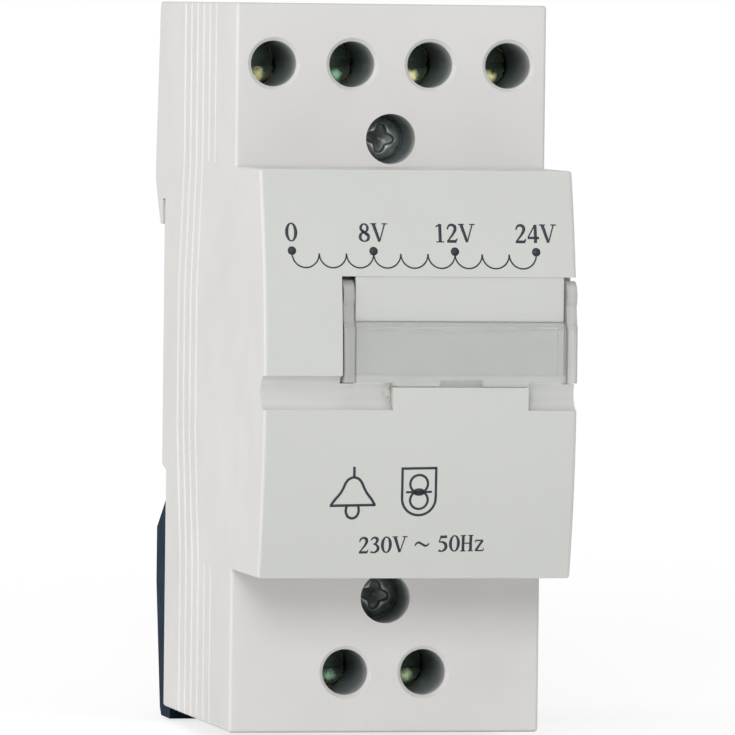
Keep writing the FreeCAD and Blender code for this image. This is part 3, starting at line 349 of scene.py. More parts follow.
@dataclass(frozen=True)
class ClearPlastic:
    """Clear glossy moulding with faint handling marks."""

    name: str
    colour: Colour
    highlight_milk_tone: Colour
    middle: float = 0.00455
    half_panel: float = 0.0120
    arm_run: float = 0.0002
    arm_highlight_milk: float = 0.55
    rim_top: float = 0.0002
    rim_run: float = 0.0004
    rim_highlight_milk: float = 0.3
    seam: float = 0.00014
    seam_shadow: Colour = (0.22, 0.225, 0.215)
    seam_shadow_share: float = 0.7
    smear: float = 0.003
    smear_tone: float = 0.97
    clarity: float = 0.75
    milk_loss: float = 0.3
    shade: float = 0.9
    rough: Pair = (0.10, 0.2)
    gloss_size: float = 0.002
    scratch: float = 0.00012
    scratch_run: Place = (0.06, 1.0, 1.0)
    scratch_depth: float = 0.0000003

    def colours(self, graph: Graph, highlight_milk: Socket, aside: Socket) -> Socket:
        """A grey tone in smears, a lighter milky tone as a painted highlight, and a thin painted shadow line
        where the arms meet the panel.

        Args:
            graph: the material's node tree.
            highlight_milk: how milky the plastic is, which also lightens it as a painted highlight.
            aside: distance from the flap's middle.

        Returns:
            The mixed colour.
        """
        smears = graph.between(graph.noise(self.smear), 0.0, 1.0)
        colour = graph.blend(smears, scaled(self.colour, self.smear_tone), self.colour)
        colour = graph.blend(highlight_milk, colour, self.highlight_milk_tone)
        # Painted shadow: a thin dark line where the arms meet the panel.
        seam = graph.ramp(graph.off(aside, self.half_panel), self.seam, self.seam / 2, self.seam_shadow_share)
        return graph.blend(seam, colour, self.seam_shadow)

    def material(self) -> bpy.types.Material:
        """Transmission, milkier and lighter in the arms and the lower rim as a painted highlight, with fine
        scratches and a pale shadow.

        Returns:
            The finished material.
        """
        graph = Graph(self.name)
        aside = graph.off(graph.along("X"), self.middle)
        # Painted highlight: the arms and the lower rim are milkier and lighter than the panel.
        arms = graph.ramp(aside, self.half_panel, self.half_panel + self.arm_run, self.arm_highlight_milk)
        rim = graph.ramp(graph.along("Z"), self.rim_top, self.rim_top - self.rim_run, self.rim_highlight_milk)
        highlight_milk = graph.calculate("MAXIMUM", arms, rim)
        clarity = graph.calculate("ADD", graph.calculate("MULTIPLY", highlight_milk, -self.milk_loss), self.clarity)
        rough = graph.between(graph.noise(self.gloss_size, detail=3.0), *self.rough)
        scratches = graph.noise(self.scratch, detail=1.0, place=graph.stretched(self.scratch_run))
        clear = graph.node("BsdfTransparent", "BSDF", {"Color": (self.shade, self.shade, self.shade, 1.0)})
        shadow = graph.node("LightPath", "Is Shadow Ray", {})
        graph.surface(graph.mix(shadow, graph.shader.outputs["BSDF"], clear))
        return graph.finish(Base_Color=self.colours(graph, highlight_milk, aside), Roughness=rough, IOR=1.46,
                            Normal=graph.relief(scratches, self.scratch_depth), Transmission_Weight=clarity)


@dataclass(frozen=True)
class TurnedMetal:
    """Machined or plated metal with tarnish, and a painted glint and painted shade where a piece asks for
    them.
    """

    name: str
    colour: Colour
    tarnish_and_shade: Colour
    rough: float = 0.3
    rough_run: Pair = (-0.08, 0.15)
    gloss_size: float = 0.0007
    metallic: float = 1.0
    painted_glint: Colour | None = None
    cloud: float = 0.0012
    clouds: Ramp = (0.59, 0.41, 1.0)
    recess_shade: Ramp = (0.0, -1.0, 0.8)
    recess_shade_tone: float = 0.4
    mark: float = 0.00006
    mark_depth: float = 0.000003

    def colours(self, graph: Graph) -> Socket:
        """Tarnish in clouds, a painted glint where a piece's glint_and_shade is above 0, and painted shade
        where it is below 0.

        Args:
            graph: the material's node tree.

        Returns:
            The mixed colour.
        """
        tarnished = graph.ramp(graph.noise(self.cloud, detail=4.0), *self.clouds)
        colour = graph.blend(tarnished, self.colour, self.tarnish_and_shade)
        if self.painted_glint:
            # Painted glint where the attribute is above 0, and painted shade where it is below 0.
            glint_and_shade = graph.node("Attribute", "Fac", {}, attribute_name="glint_and_shade")
            colour = graph.blend(glint_and_shade, colour, self.painted_glint)
            colour = graph.blend(graph.ramp(glint_and_shade, *self.recess_shade), colour, scaled(self.tarnish_and_shade, self.recess_shade_tone))
        return colour

    def material(self) -> bpy.types.Material:
        """The colours over fine tool marks.

        Returns:
            The finished material.
        """
        graph = Graph(self.name)
        colour = self.colours(graph)
        gloss = graph.noise(self.gloss_size, detail=3.0)
        rough = graph.between(gloss, *(self.rough + run for run in self.rough_run))
        marks = graph.relief(graph.noise(self.mark), self.mark_depth)
        return graph.finish(Base_Color=colour, Roughness=rough, Normal=marks, Metallic=self.metallic)


@dataclass(frozen=True)
class ChromatedSteel(TurnedMetal):
    """Chromated screws, gold on some and green on others, with painted shade over each head apart from a
    painted glint spot.
    """

    green: Colour = (0.35, 0.62, 0.40)
    film_size: float = 0.008
    films: Ramp = (0.42, 0.58, 1.0)
    glint_spots: tuple[Place, ...] = ()
    reach: float = 0.0010
    bright_share: float = 0.6
    dark_share: float = 1.3
    bend: float = 0.0007

    def colours(self, graph: Graph) -> Socket:
        """Painted glint spots that fade into painted shade with the distance to the nearest glint point, their
        edge bent by clouds.

        Args:
            graph: the material's node tree.

        Returns:
            The mixed colour.
        """
        away = graph.distance(self.glint_spots[0])
        for spot in self.glint_spots[1:]:
            away = graph.calculate("MINIMUM", away, graph.distance(spot))
        away = graph.calculate("ADD", away, graph.calculate("MULTIPLY", graph.noise(self.bend), self.reach))
        dark = graph.ramp(away, self.reach * self.bright_share, self.reach * self.dark_share, 1.0)
        film = graph.ramp(graph.noise(self.film_size, detail=0.0), *self.films)
        return graph.blend(dark, graph.blend(film, self.colour, self.green), self.tarnish_and_shade)


@dataclass(frozen=True)
class LayeredMetal:
    """Metal in many thin layers or turns, with a line between each and the next."""

    name: str
    colour: Colour
    gap: Colour
    axis: str
    pitch: float
    metallic: float
    waver: float = 0.4
    step: float = 0.25
    rough: Pair = (0.28, 0.5)
    gloss_size: float = 0.003

    def material(self) -> bpy.types.Material:
        """Bands one layer apart set the colour and the bump; varnish clouds set the gloss.

        Returns:
            The finished material.
        """
        graph = Graph(self.name)
        layers = graph.bands(self.axis, self.pitch, self.waver)
        colour = graph.blend(layers, self.gap, self.colour)
        rough = graph.between(graph.noise(self.gloss_size, detail=3.0), *self.rough)
        steps = graph.relief(layers, self.pitch * self.step)
        return graph.finish(Base_Color=colour, Roughness=rough, Normal=steps, Metallic=self.metallic)


@dataclass(frozen=True)
class Ink:
    """Pad-printed ink, a little uneven."""

    name: str
    colour: Colour
    spot: float = 0.0003
    thin: float = 0.85
    full: float = 1.2
    rough: Pair = (0.45, 0.6)
    gloss_size: float = 0.0008
    grain: float = 0.0001
    depth: float = 0.000002

    def material(self) -> bpy.types.Material:
        """Ink density in small spots over a dull surface.

        Returns:
            The finished material.
        """
        graph = Graph(self.name)
        density = graph.between(graph.noise(self.spot), 0.0, 1.0)
        colour = graph.blend(density, scaled(self.colour, self.thin), scaled(self.colour, self.full))
        rough = graph.between(graph.noise(self.gloss_size), *self.rough)
        grain = graph.relief(graph.noise(self.grain), self.depth)
        return graph.finish(Base_Color=colour, Roughness=rough, Normal=grain)


# For each moulded plastic below, the second colour is a darker corner tone and the third is painted shade deep
# in wells.
HOUSING_GREY = ShadedAndSmudgedPlastic("housing_grey", (0.70, 0.692, 0.68), (0.42, 0.40, 0.36), (0.135, 0.195, 0.20))
CLIP_BLACK = MouldedPlastic("clip_blue_black", (0.009, 0.021, 0.042), (0.02, 0.03, 0.04),
                            (0.006, 0.009, 0.014), rough=0.6, gloss=0.02)
NYLON = MouldedPlastic("natural_nylon", (0.72, 0.69, 0.60), (0.45, 0.42, 0.34), (0.2, 0.18, 0.14),
                       rough=0.4)
LINK_CASE = MouldedPlastic("link_case_white", (0.78, 0.77, 0.72), (0.5, 0.48, 0.44), (0.3, 0.28, 0.25),
                           rough=0.6)
TAPE_AMBER = MouldedPlastic("amber_tape", (0.62, 0.41, 0.06), (0.3, 0.2, 0.05), (0.15, 0.09, 0.02),
                            rough=0.2)
# The flap's second colour is the lighter milky tone of its painted highlight.
FLAP_CLEAR = ClearPlastic("clear_flap", (0.72, 0.725, 0.705), (0.80, 0.80, 0.785))
BRASS = TurnedMetal("terminal_brass", (0.70, 0.52, 0.22), (0.38, 0.29, 0.13))
# Terminal screws: painted shade on each head, with a painted glint where Terminals places it.
PASSIVATED = ChromatedSteel("passivated_screw", (0.92, 0.87, 0.42), (0.05, 0.07, 0.055), rough=0.16)
# Cover screws: a painted glint at the recess corners and painted shade in the recess.
ZINC = TurnedMetal("zinc_screw", (0.42, 0.47, 0.45), (0.24, 0.28, 0.27), rough=0.38, metallic=0.5,
                   painted_glint=(0.95, 0.95, 0.95))
SPRING_STEEL = TurnedMetal("spring_steel", (0.52, 0.52, 0.53), (0.30, 0.30, 0.30), rough=0.25)
LAMINATIONS = LayeredMetal("core_laminations", (0.16, 0.13, 0.11), (0.05, 0.04, 0.035), "X", 0.0005, 0.6)
COPPER = LayeredMetal("enamelled_copper", (0.55, 0.22, 0.09), (0.18, 0.06, 0.025), "Z", 0.00032, 0.85)
MARK_INK = Ink("dark_blue_ink", (0.009, 0.016, 0.026))
LEAD_COLOURS: dict[str, Colour] = {
    "0v": (0.02, 0.02, 0.02),
    "8v": (0.65, 0.45, 0.03),
    "12v": (0.62, 0.17, 0.02),
    "24v": (0.45, 0.02, 0.02),
    "live": (0.14, 0.055, 0.025),
    "neutral": (0.03, 0.09, 0.36),
}


def put(name: str, mesh: Mesh, body: str, material: bpy.types.Material,
        glint_and_shade: np.ndarray | None = None) -> bpy.types.Object:
    """Make a piece from arrays and let it ride on a body.

    Points in one place, to a nanometre, become one point. A face that loses a corner by this is a triangle,
    and one that loses two is left out.

    Args:
        name: name of the piece.
        mesh: points, and faces of four points each.
        body: the body that it rides on.
        material: its finish.
        glint_and_shade: at each point, from -1 for painted shade to 1 for a painted glint, if the finish reads
            it.

    Returns:
        The new object.
    """
    digits = 9
    places = mesh[0].round(digits)
    points, first, joined = np.unique(places, axis=0, return_index=True, return_inverse=True)
    corners = joined.reshape(-1)[mesh[1]]
    apart = corners != np.roll(corners, -1, axis=1)
    three = apart.sum(axis=1) == 3
    triangles = corners[three][apart[three]].reshape(-1, 3)
    faces = corners[apart.all(axis=1)].tolist() + triangles.tolist()
    data = bpy.data.meshes.new(name)
    data.from_pydata(points.tolist(), [], faces)
    data.polygons.foreach_set("use_smooth", np.ones(len(faces), dtype=bool))
    if glint_and_shade is not None:
        values = data.attributes.new("glint_and_shade", "FLOAT", "POINT").data
        values.foreach_set("value", glint_and_shade[first].astype(np.float32))
    data.validate()
    data.materials.append(material)
    piece = bpy.data.objects.new(name, data)
    bpy.context.scene.collection.objects.link(piece)
    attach(piece, body)
    log.info("made %s, %d faces", name, len(faces))
    return piece


def dress(node: str, material: bpy.types.Material) -> None:
    """Give a node of the frame its finish.

    Args:
        node: name of the node.
        material: its finish.
    """
    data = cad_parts[node].data
    data.materials.clear()
    data.materials.append(material)
    log.info("dressed %s with %s", node, material.name)


def loop_faces(stations: int, corners: int) -> np.ndarray:
    """Faces of a tube of stations, each a closed loop of corners, with its two ends left open.

    Face (i, k) joins corners k and k + 1 of station i to the same corners of station i + 1.

    Args:
        stations: number of loops.
        corners: points in each loop.

    Returns:
        Array of quads.
    """
    station, corner = np.meshgrid(np.arange(stations - 1), np.arange(corners), indexing="ij")
    following = (corner + 1) % corners
    quads = np.stack([
        station * corners + corner,
        station * corners + following,
        (station + 1) * corners + following,
        (station + 1) * corners + corner,
    ], axis=-1)
    return quads.reshape(-1, 4)


def stacked(parts: list[Mesh]) -> Mesh:
    """Join meshes into one, each face index moved up by the points before it.

    Args:
        parts: the meshes.

    Returns:
        Points and faces of the whole.
    """
    counts = np.cumsum([0] + [len(points) for points, _ in parts])
    faces = [faces + start for (_, faces), start in zip(parts, counts)]
    return np.concatenate([points for points, _ in parts]), np.concatenate(faces)


class Line(Enum):
    """How a stroke runs between its points."""

    STRAIGHT = "straight"
    CURVED = "curved"


@dataclass(frozen=True)
class Stroke:
    """One pen stroke: points in letter heights, and the pen's width at each."""

    points: tuple[Pair, ...]
    widths: tuple[float, ...]
    line: Line = Line.STRAIGHT

    def sampled(self) -> tuple[np.ndarray, np.ndarray]:
        """Points and widths close together along the stroke.

        A curved stroke is a Catmull-Rom curve: between points b and c, with a and d beside them, it is
        half of 2b + (c - a)t + (2a - 5b + 4c - d)t^2 + (3b - a - 3c + d)t^3. A straight one goes evenly.

        Returns:
            Points and widths.
        """
        steps = 10
        points = np.array(self.points, dtype=float)
        spans = len(points) - 1
        stations = spans * steps + 1
        known = np.linspace(0, 1, len(self.widths))
        widths = np.interp(np.linspace(0, 1, stations), known, self.widths)
        along = np.linspace(0, spans, stations)
        if self.line is Line.STRAIGHT:
            knots = np.arange(spans + 1)
            return np.stack([np.interp(along, knots, points[:, k]) for k in (0, 1)], axis=1), widths
        closed = np.allclose(points[0], points[-1])
        first = points[-2] if closed else 2 * points[0] - points[1]
        last = points[1] if closed else 2 * points[-1] - points[-2]
        padded = np.vstack([first, points, last])
        span = np.minimum(along.astype(int), spans - 1)
        t = (along - span)[:, None]
        a, b, c, d = (padded[span + shift] for shift in range(4))
        curve = 2 * b + (c - a) * t + (2 * a - 5 * b + 4 * c - d) * t**2 + (3 * b - a - 3 * c + d) * t**3
        return curve / 2, widths


# Steps round a drawn ring, and how fast its pen swells towards the sides.
RING_STEPS = 16
RING_SWELL = 1.5


def ring(x: float, z: float, wide: float, tall: float, side: float, top: float) -> Stroke:
    """An oval stroke, thicker at its sides than at its top and bottom.

    Args:
        x: middle.
        z: middle.
        wide: half width.
        tall: half height.
        side: pen width at the sides.
        top: pen width at top and bottom.

    Returns:
        The stroke: point k of 16 stands at wide * cos and tall * sin of k sixteenths of a turn.
    """
    turn = np.linspace(0, 2 * math.pi, RING_STEPS + 1)
    points = np.stack([x + wide * np.cos(turn), z + tall * np.sin(turn)], axis=1)
    widths = top + (side - top) * np.abs(np.cos(turn)) ** RING_SWELL
    return Stroke(tuple(map(tuple, points.tolist())), tuple(widths.tolist()), Line.CURVED)


CURVE = Line.CURVED
LETTERS: dict[str, tuple[float, tuple[Stroke, ...]]] = {
    "0": (0.72, (ring(0.35, 0.5, 0.245, 0.475, 0.135, 0.05),)),
    "1": (0.70, (
        Stroke(((0.38, 0.98), (0.38, 0.02)), (0.125, 0.125)),
        Stroke(((0.15, 0.84), (0.40, 0.97)), (0.05, 0.07)),
        Stroke(((0.16, 0.022), (0.60, 0.022)), (0.045, 0.045)),
    )),
    "2": (0.70, (
        Stroke(((0.08, 0.70), (0.17, 0.89), (0.33, 0.95), (0.49, 0.87), (0.52, 0.70), (0.43, 0.50),
                (0.25, 0.26), (0.09, 0.06)), (0.05, 0.08, 0.10, 0.13, 0.13, 0.10, 0.07, 0.05), CURVE),
        Stroke(((0.06, 0.055), (0.58, 0.055)), (0.11, 0.11)),
        Stroke(((0.55, 0.07), (0.63, 0.22)), (0.09, 0.03)),
    )),
    "3": (0.70, (
        Stroke(((0.09, 0.78), (0.19, 0.92), (0.33, 0.95), (0.47, 0.87), (0.46, 0.70), (0.36, 0.59),
                (0.24, 0.54)), (0.05, 0.07, 0.10, 0.13, 0.12, 0.08, 0.05), CURVE),
        Stroke(((0.26, 0.55), (0.42, 0.50), (0.53, 0.36), (0.52, 0.19), (0.38, 0.06), (0.22, 0.035),
                (0.08, 0.08)), (0.05, 0.09, 0.13, 0.13, 0.09, 0.06, 0.09), CURVE),
    )),
    "4": (0.70, (
        Stroke(((0.44, 0.97), (0.05, 0.29)), (0.05, 0.06)),
        Stroke(((0.03, 0.27), (0.66, 0.27)), (0.095, 0.095)),
        Stroke(((0.46, 0.98), (0.46, 0.0)), (0.125, 0.125)),
    )),
    "5": (0.72, (
        Stroke(((0.18, 0.91), (0.60, 0.93)), (0.13, 0.12)),
        Stroke(((0.20, 0.92), (0.12, 0.60)), (0.05, 0.05)),
        Stroke(((0.12, 0.60), (0.32, 0.60), (0.50, 0.48), (0.55, 0.31), (0.47, 0.13), (0.28, 0.035),
                (0.09, 0.08)), (0.05, 0.09, 0.13, 0.14, 0.11, 0.06, 0.10), CURVE),
    )),
    "8": (0.70, (
        ring(0.34, 0.745, 0.19, 0.215, 0.105, 0.055),
        ring(0.34, 0.265, 0.235, 0.235, 0.12, 0.055),
        Stroke(((0.19, 0.66), (0.34, 0.52), (0.52, 0.34)), (0.08, 0.11, 0.09)),
    )),
    "V": (0.95, (
        Stroke(((0.15, 0.98), (0.47, 0.02)), (0.135, 0.11)),
        Stroke(((0.78, 0.98), (0.48, 0.02)), (0.055, 0.05)),
        Stroke(((-0.01, 0.978), (0.33, 0.978)), (0.044, 0.044)),
        Stroke(((0.62, 0.978), (0.93, 0.978)), (0.044, 0.044)),
    )),
    "H": (0.88, (
        Stroke(((0.17, 0.98), (0.17, 0.02)), (0.125, 0.125)),
        Stroke(((0.64, 0.98), (0.64, 0.02)), (0.125, 0.125)),
        Stroke(((0.17, 0.5), (0.64, 0.5)), (0.055, 0.055)),
        *(Stroke(((x - 0.16, z), (x + 0.16, z)), (0.044, 0.044))
          for x in (0.17, 0.64) for z in (0.022, 0.978)),
    )),
    "z": (0.62, (
        Stroke(((0.06, 0.66), (0.53, 0.66)), (0.065, 0.065)),
        Stroke(((0.06, 0.66), (0.05, 0.52)), (0.05, 0.03)),
        Stroke(((0.50, 0.66), (0.08, 0.035)), (0.105, 0.105)),
        Stroke(((0.05, 0.035), (0.55, 0.035)), (0.065, 0.065)),
        Stroke(((0.55, 0.035), (0.57, 0.19)), (0.05, 0.03)),
    )),
    "~": (1.0, (
        Stroke(((0.03, 0.40), (0.13, 0.54), (0.27, 0.60), (0.47, 0.50), (0.65, 0.40), (0.80, 0.42),
                (0.92, 0.54)), (0.05, 0.08, 0.10, 0.10, 0.10, 0.08, 0.05), CURVE),
    )),
    " ": (0.42, ()),
}


@dataclass
class NosePrint:
    """Marks printed on the curved front of the nose. The bell, the shield and their pens are in sign units."""

    edge_depth: float = 0.0592
    lean: float = 0.0007
    half_height: float = 0.0228
    bulge: float = 0.0035
    lift: float = 0.000014
    sink: float = 0.00002
    tap_places: tuple[float, ...] = (-0.01450, -0.00525, 0.00400, 0.01327)
    tap_marks: tuple[str, ...] = ("0", "8V", "12V", "24V")
    tap_height: float = 0.00205
    tap_foot: float = 0.01478
    dot_height: float = 0.01375
    dot_radius: float = 0.00048
    loops_per_gap: int = 3
    loop_drop: float = 0.00028
    loop_depth: float = 0.00158
    loop_steps: int = 32
    line_width: float = 0.000165
    rating: str = "230V ~ 50Hz"
    rating_height: float = 0.00183
    rating_place: Pair = (0.00063, -0.01981)
    weight: float = 1.35
    lower_tilt: float = 1.1
    sign_unit: float = 0.001
    bell_place: Pair = (-0.00740, -0.01454)
    bell_pen: float = 0.285
    shield_place: Pair = (0.00005, -0.01303)
    shield_pen: float = 0.275
    shield_half: float = 1.91
    shield_top: float = 2.66
    shield_low: float = -0.69
    circle: float = 1.0
    circle_places: Pair = (0.91, -0.90)
    circle_pen: float = 0.265
    link: float = 1.47
    link_pen: float = 0.25
    overlap: float = 0.72
    overlap_flat: float = 0.58

    def depth(self, z: np.ndarray) -> np.ndarray:
        """Y of the nose's front at height z: a circle through both edges that rises by the bulge.

        Args:
            z: heights.

        Returns:
            Y at those heights.
        """
        half_chord = math.hypot(self.half_height, self.lean)
        radius = (half_chord**2 + self.bulge**2) / (2 * self.bulge)
        inward = radius - self.bulge
        middle_y = inward * self.half_height / half_chord - self.edge_depth
        middle_z = -inward * self.lean / half_chord
        return middle_y - np.sqrt(radius**2 - (z - middle_z) ** 2)

    def bar(self, path: np.ndarray, width: np.ndarray) -> Mesh:
        """A flat bar of ink along a path on the nose.

        Each station has four corners: half a width to either side of the path, across its tangent, a little
        above and a little below the nose's surface. The ends are closed, or meet where the path is a loop.

        Args:
            path: X and Z of the stations.
            width: width at each station.

        Returns:
            Points and faces.
        """
        loop = np.allclose(path[0], path[-1])
        wrapped = np.vstack([path[-2], path, path[1]])
        ahead = np.gradient(wrapped, axis=0)[1:-1] if loop else np.gradient(path, axis=0)
        ahead /= np.linalg.norm(ahead, axis=1, keepdims=True)
        across = np.stack([-ahead[:, 1], ahead[:, 0]], axis=1) * width[:, None] / 2
        corners = np.stack([path + across, path - across, path - across, path + across], axis=1)
        rise = np.array([self.lift, self.lift, -self.sink, -self.sink])
        y = self.depth(corners[..., 1]) - rise
        points = np.stack([corners[..., 0], y, corners[..., 1]], axis=-1).reshape(-1, 3)
        sides = loop_faces(len(path), 4)
        if loop:
            return points, sides
        last = len(points) - 4
        ends = np.array([[3, 2, 1, 0], [last, last + 1, last + 2, last + 3]])
        return points, np.concatenate([sides, ends])

    def disc(self, x: float, z: float, radius: float, flat: float = 1.0) -> Mesh:
        """A filled oval of ink, as a bar whose width follows the oval's chord.

        Args:
            x: middle.
            z: middle.
            radius: half length along X.
            flat: height as a share of the length.

        Returns:
            Points and faces.
        """
        stations = 25
        end = 0.08
        turn = np.linspace(end, math.pi - end, stations)
        path = np.stack([x - radius * np.cos(turn), np.full(stations, z)], axis=1)
        return self.bar(path, 2 * radius * flat * np.sin(turn))

    def inked(self, strokes: tuple[Stroke, ...], unit: float, tilt: float, place: Pair, start: float = 0.0,
              weight: float = 1.0) -> list[Mesh]:
        """Bars of ink for the strokes of a letter or a sign.

        Points move along X by the start, are multiplied by the unit, turn by the tilt and move to the place.

        Args:
            strokes: the strokes, in units.
            unit: length of one unit.
            tilt: turn in degrees, from X towards Z, as the lower print stands a little askew.
            place: X and Z of the line of text or the sign.
            start: X of the letter in its line, in units.
            weight: factor on the pen's widths.

        Returns:
            One mesh for each stroke.
        """
        cosine, sine = math.cos(math.radians(tilt)), math.sin(math.radians(tilt))
        turned = np.array([[cosine, sine], [-sine, cosine]])
        bars = []
        for stroke in strokes:
            path, width = stroke.sampled()
            bars.append(self.bar((path + (start, 0.0)) * unit @ turned + place, width * unit * weight))
        return bars

    def text(self, words: str, place: Pair, height: float, tilt: float = 0.0) -> list[Mesh]:
        """Strokes of a line of text.

        Args:
            words: the letters.
            place: X of the line's middle and Z of its foot.
            height: height of the capitals.
            tilt: turn of the line in degrees.

        Returns:
            One mesh for each stroke.
        """
        steps = [LETTERS[letter][0] for letter in words]
        starts = np.cumsum([0.0] + steps[:-1]) - sum(steps) / 2
        bars = []
        for letter, start in zip(words, starts):
            bars += self.inked(LETTERS[letter][1], height, tilt, place, start, self.weight)
        return bars

    def winding_sign(self) -> list[Mesh]:
        """Dots at the taps, with half-oval loops hung between them.

        A loop runs from cusp to cusp as X by the cosine and Z by the sine of half a turn.

        Returns:
            One mesh for each dot and loop.
        """
        parts = [self.disc(x, self.dot_height, self.dot_radius) for x in self.tap_places]
        turn = np.linspace(math.pi, 2 * math.pi, self.loop_steps + 1)
        z = self.dot_height - self.loop_drop + self.loop_depth * np.sin(turn)
        width = np.full(len(turn), self.line_width)
        for left, right in zip(self.tap_places, self.tap_places[1:]):
            pitch = (right - left) / self.loops_per_gap
            for loop in range(self.loops_per_gap):
                x = left + pitch * (loop + 0.5) + pitch / 2 * np.cos(turn)
                parts.append(self.bar(np.stack([x, z], axis=1), width))
        return parts

    def bell_sign(self) -> list[Mesh]:
        """A bell: hanger, flared body, foot line and clapper.

        Returns:
            One mesh for each stroke.
        """
        pen = (self.bell_pen, self.bell_pen)
        strokes = (
            Stroke(((0.10, 4.33), (0.10, 3.16)), pen),
            Stroke(((-2.50, 0.05), (-2.02, 0.70), (-1.50, 1.30), (-1.14, 1.90), (-0.88, 2.48), (-0.50, 2.94),
                    (0.08, 3.14), (0.64, 2.94), (1.00, 2.48), (1.26, 1.90), (1.60, 1.30), (2.06, 0.70),
                    (2.46, 0.05)), pen, CURVE),
            Stroke(((-2.62, 0.0), (2.58, 0.0)), pen),
            Stroke(((-0.70, -0.02), (-0.79, -0.68), (-0.56, -1.24), (-0.06, -1.46), (0.43, -1.24),
                    (0.67, -0.68), (0.60, -0.02)), pen, CURVE),
        )
        return self.inked(strokes, self.sign_unit, self.lower_tilt, self.bell_place)

    def transformer_sign(self) -> list[Mesh]:
        """A shield outline with a half-round foot, two linked circles and a bar through their overlap.

        Returns:
            One mesh for each stroke, and one for the filled overlap.
        """
        pen = (self.shield_pen, self.shield_pen)
        half, top, low = self.shield_half, self.shield_top, self.shield_low
        wide = half + self.shield_pen / 2
        turn = np.linspace(math.pi, 2 * math.pi, RING_STEPS + 1)
        bowl = np.stack([half * np.cos(turn), low + half * np.sin(turn)], axis=1)
        circles = (ring(0.0, z, self.circle, self.circle, self.circle_pen, self.circle_pen)
                   for z in self.circle_places)
        strokes = (
            Stroke(((-wide, top), (wide, top)), pen),
            Stroke(((-half, top), (-half, low)), pen),
            Stroke(((half, top), (half, low)), pen),
            Stroke(tuple(map(tuple, bowl.tolist())), pen, CURVE),
            *circles,
            Stroke(((-self.link, 0.0), (self.link, 0.0)), (self.link_pen, self.link_pen)),
        )
        parts = self.inked(strokes, self.sign_unit, self.lower_tilt, self.shield_place)
        return parts + [self.disc(*self.shield_place, self.overlap * self.sign_unit, self.overlap_flat)]

    def build(self) -> None:
        """Print all the marks."""
        ink = MARK_INK.material()
        taps = []
        for mark, x in zip(self.tap_marks, self.tap_places):
            taps += self.text(mark, (x, self.tap_foot), self.tap_height)
        marks = {
            "tap_numbers": taps,
            "winding_sign": self.winding_sign(),
            "bell_sign": self.bell_sign(),
            "transformer_sign": self.transformer_sign(),
            "mains_rating": self.text(self.rating, self.rating_place, self.rating_height, self.lower_tilt),
        }
        for name, parts in marks.items():
            put(name, stacked(parts), "housing", ink)


@dataclass
class CoverScrews:
    """The two pan-head screws with a cross recess that join the shells."""

    node: str = "cover_screws"
    head: float = 0.0026
    height: float = 0.0019
    shank: float = 0.00145
    fullness: float = 2.8
    arm: float = 0.00165
    corner: float = 0.00104
    deep: float = 0.0012
    floor_fall: float = 0.55
    edge: float = 0.00022
    glint_out: float = 0.7
    turn: float = -6.0
    around: int = 96
    rings: int = 56

    def recess(self, radius: np.ndarray, angle: np.ndarray) -> tuple[np.ndarray, np.ndarray]:
        """Depth of the cross recess, a painted glint at its corners and painted shade in it.

        The recess ends at a radius that swings from the corner's to the arm's with the squared cosine of
        twice the angle. Inside it the floor falls to the middle; the wall between is a smooth step one edge
        wide. The painted glint is a bell curve just outside that wall, at the corners only. Painted shade
        fills the rest of the recess.

        Args:
            radius: distances from the screw's axis.
            angle: angles about it.

        Returns:
            Depths, and glint_and_shade from -1 for painted shade to 1 for a painted glint.
        """
        swing = np.cos(2 * (angle - math.radians(self.turn))) ** 2
        end = self.corner + (self.arm - self.corner) * swing
        step = np.clip((end - radius) / self.edge + 0.5, 0.0, 1.0)
        inside = step**2 * (3.0 - 2.0 * step)
        depth = self.deep * (1.0 - self.floor_fall * radius / self.arm) * inside
        glint = np.exp(-((end - radius) / self.edge + self.glint_out) ** 2) * (1.0 - swing) ** 2
        return depth, glint - inside * (1.0 - glint)

    def screw(self, x: float, z: float, front: float, back: float) -> tuple[Mesh, np.ndarray]:
        """One screw, turned about its axis, with its recess pressed into the head.

        Ring i of the head follows a superellipse: radius by the sine and height by the cosine of i steps of a
        quarter turn, each to the power two over the fullness. The shank's rings come after it.

        Args:
            x: X of the axis.
            z: Z of the axis.
            front: Y of the head's top.
            back: Y of the shank's end.

        Returns:
            The mesh, and the painted glint and shade at each point.
        """
        seat = front + self.height
        quarter = np.linspace(0, math.pi / 2, self.rings)
        radius = self.head * np.sin(quarter) ** (2 / self.fullness)
        rise = self.height * np.cos(quarter) ** (2 / self.fullness)
        radius = np.concatenate([radius, [self.shank, self.shank, 0.0]])
        y = np.concatenate([seat - rise, [seat, back, back]])
        angle = np.linspace(0, 2 * math.pi, self.around, endpoint=False)
        depth, glint_and_shade = self.recess(radius[:, None], angle)
        on_head = (np.arange(len(radius)) < self.rings)[:, None]
        points = np.stack([
            x + radius[:, None] * np.cos(angle),
            y[:, None] + np.where(on_head, depth, 0.0),
            z + radius[:, None] * np.sin(angle),
        ], axis=-1)
        faces = loop_faces(len(radius), self.around)[:, ::-1]
        return (points.reshape(-1, 3), faces), np.where(on_head, glint_and_shade, 0.0).ravel()

    def build(self) -> None:
        """Put both screws in place of the plain ones."""
        low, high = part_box(self.node)
        x = (low.x + high.x) / 2
        screws = [self.screw(x, z, low.y, high.y) for z in (low.z + self.head, high.z - self.head)]
        glint_and_shade = np.concatenate([painted_glint for _, painted_glint in screws])
        pair = stacked([mesh for mesh, _ in screws])
        piece = put("cover_screw_pair", pair, "housing", ZINC.material(), glint_and_shade)
        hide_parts(self.node)


@dataclass
class Housing:
    """Front cover and rear base."""

    mouldings: tuple[str, ...] = ("front_cover", "rear_base")

    def dress(self) -> None:
        """Grey moulded shells."""
        grey = HOUSING_GREY.material()
        for node in self.mouldings:
            dress(node, grey)


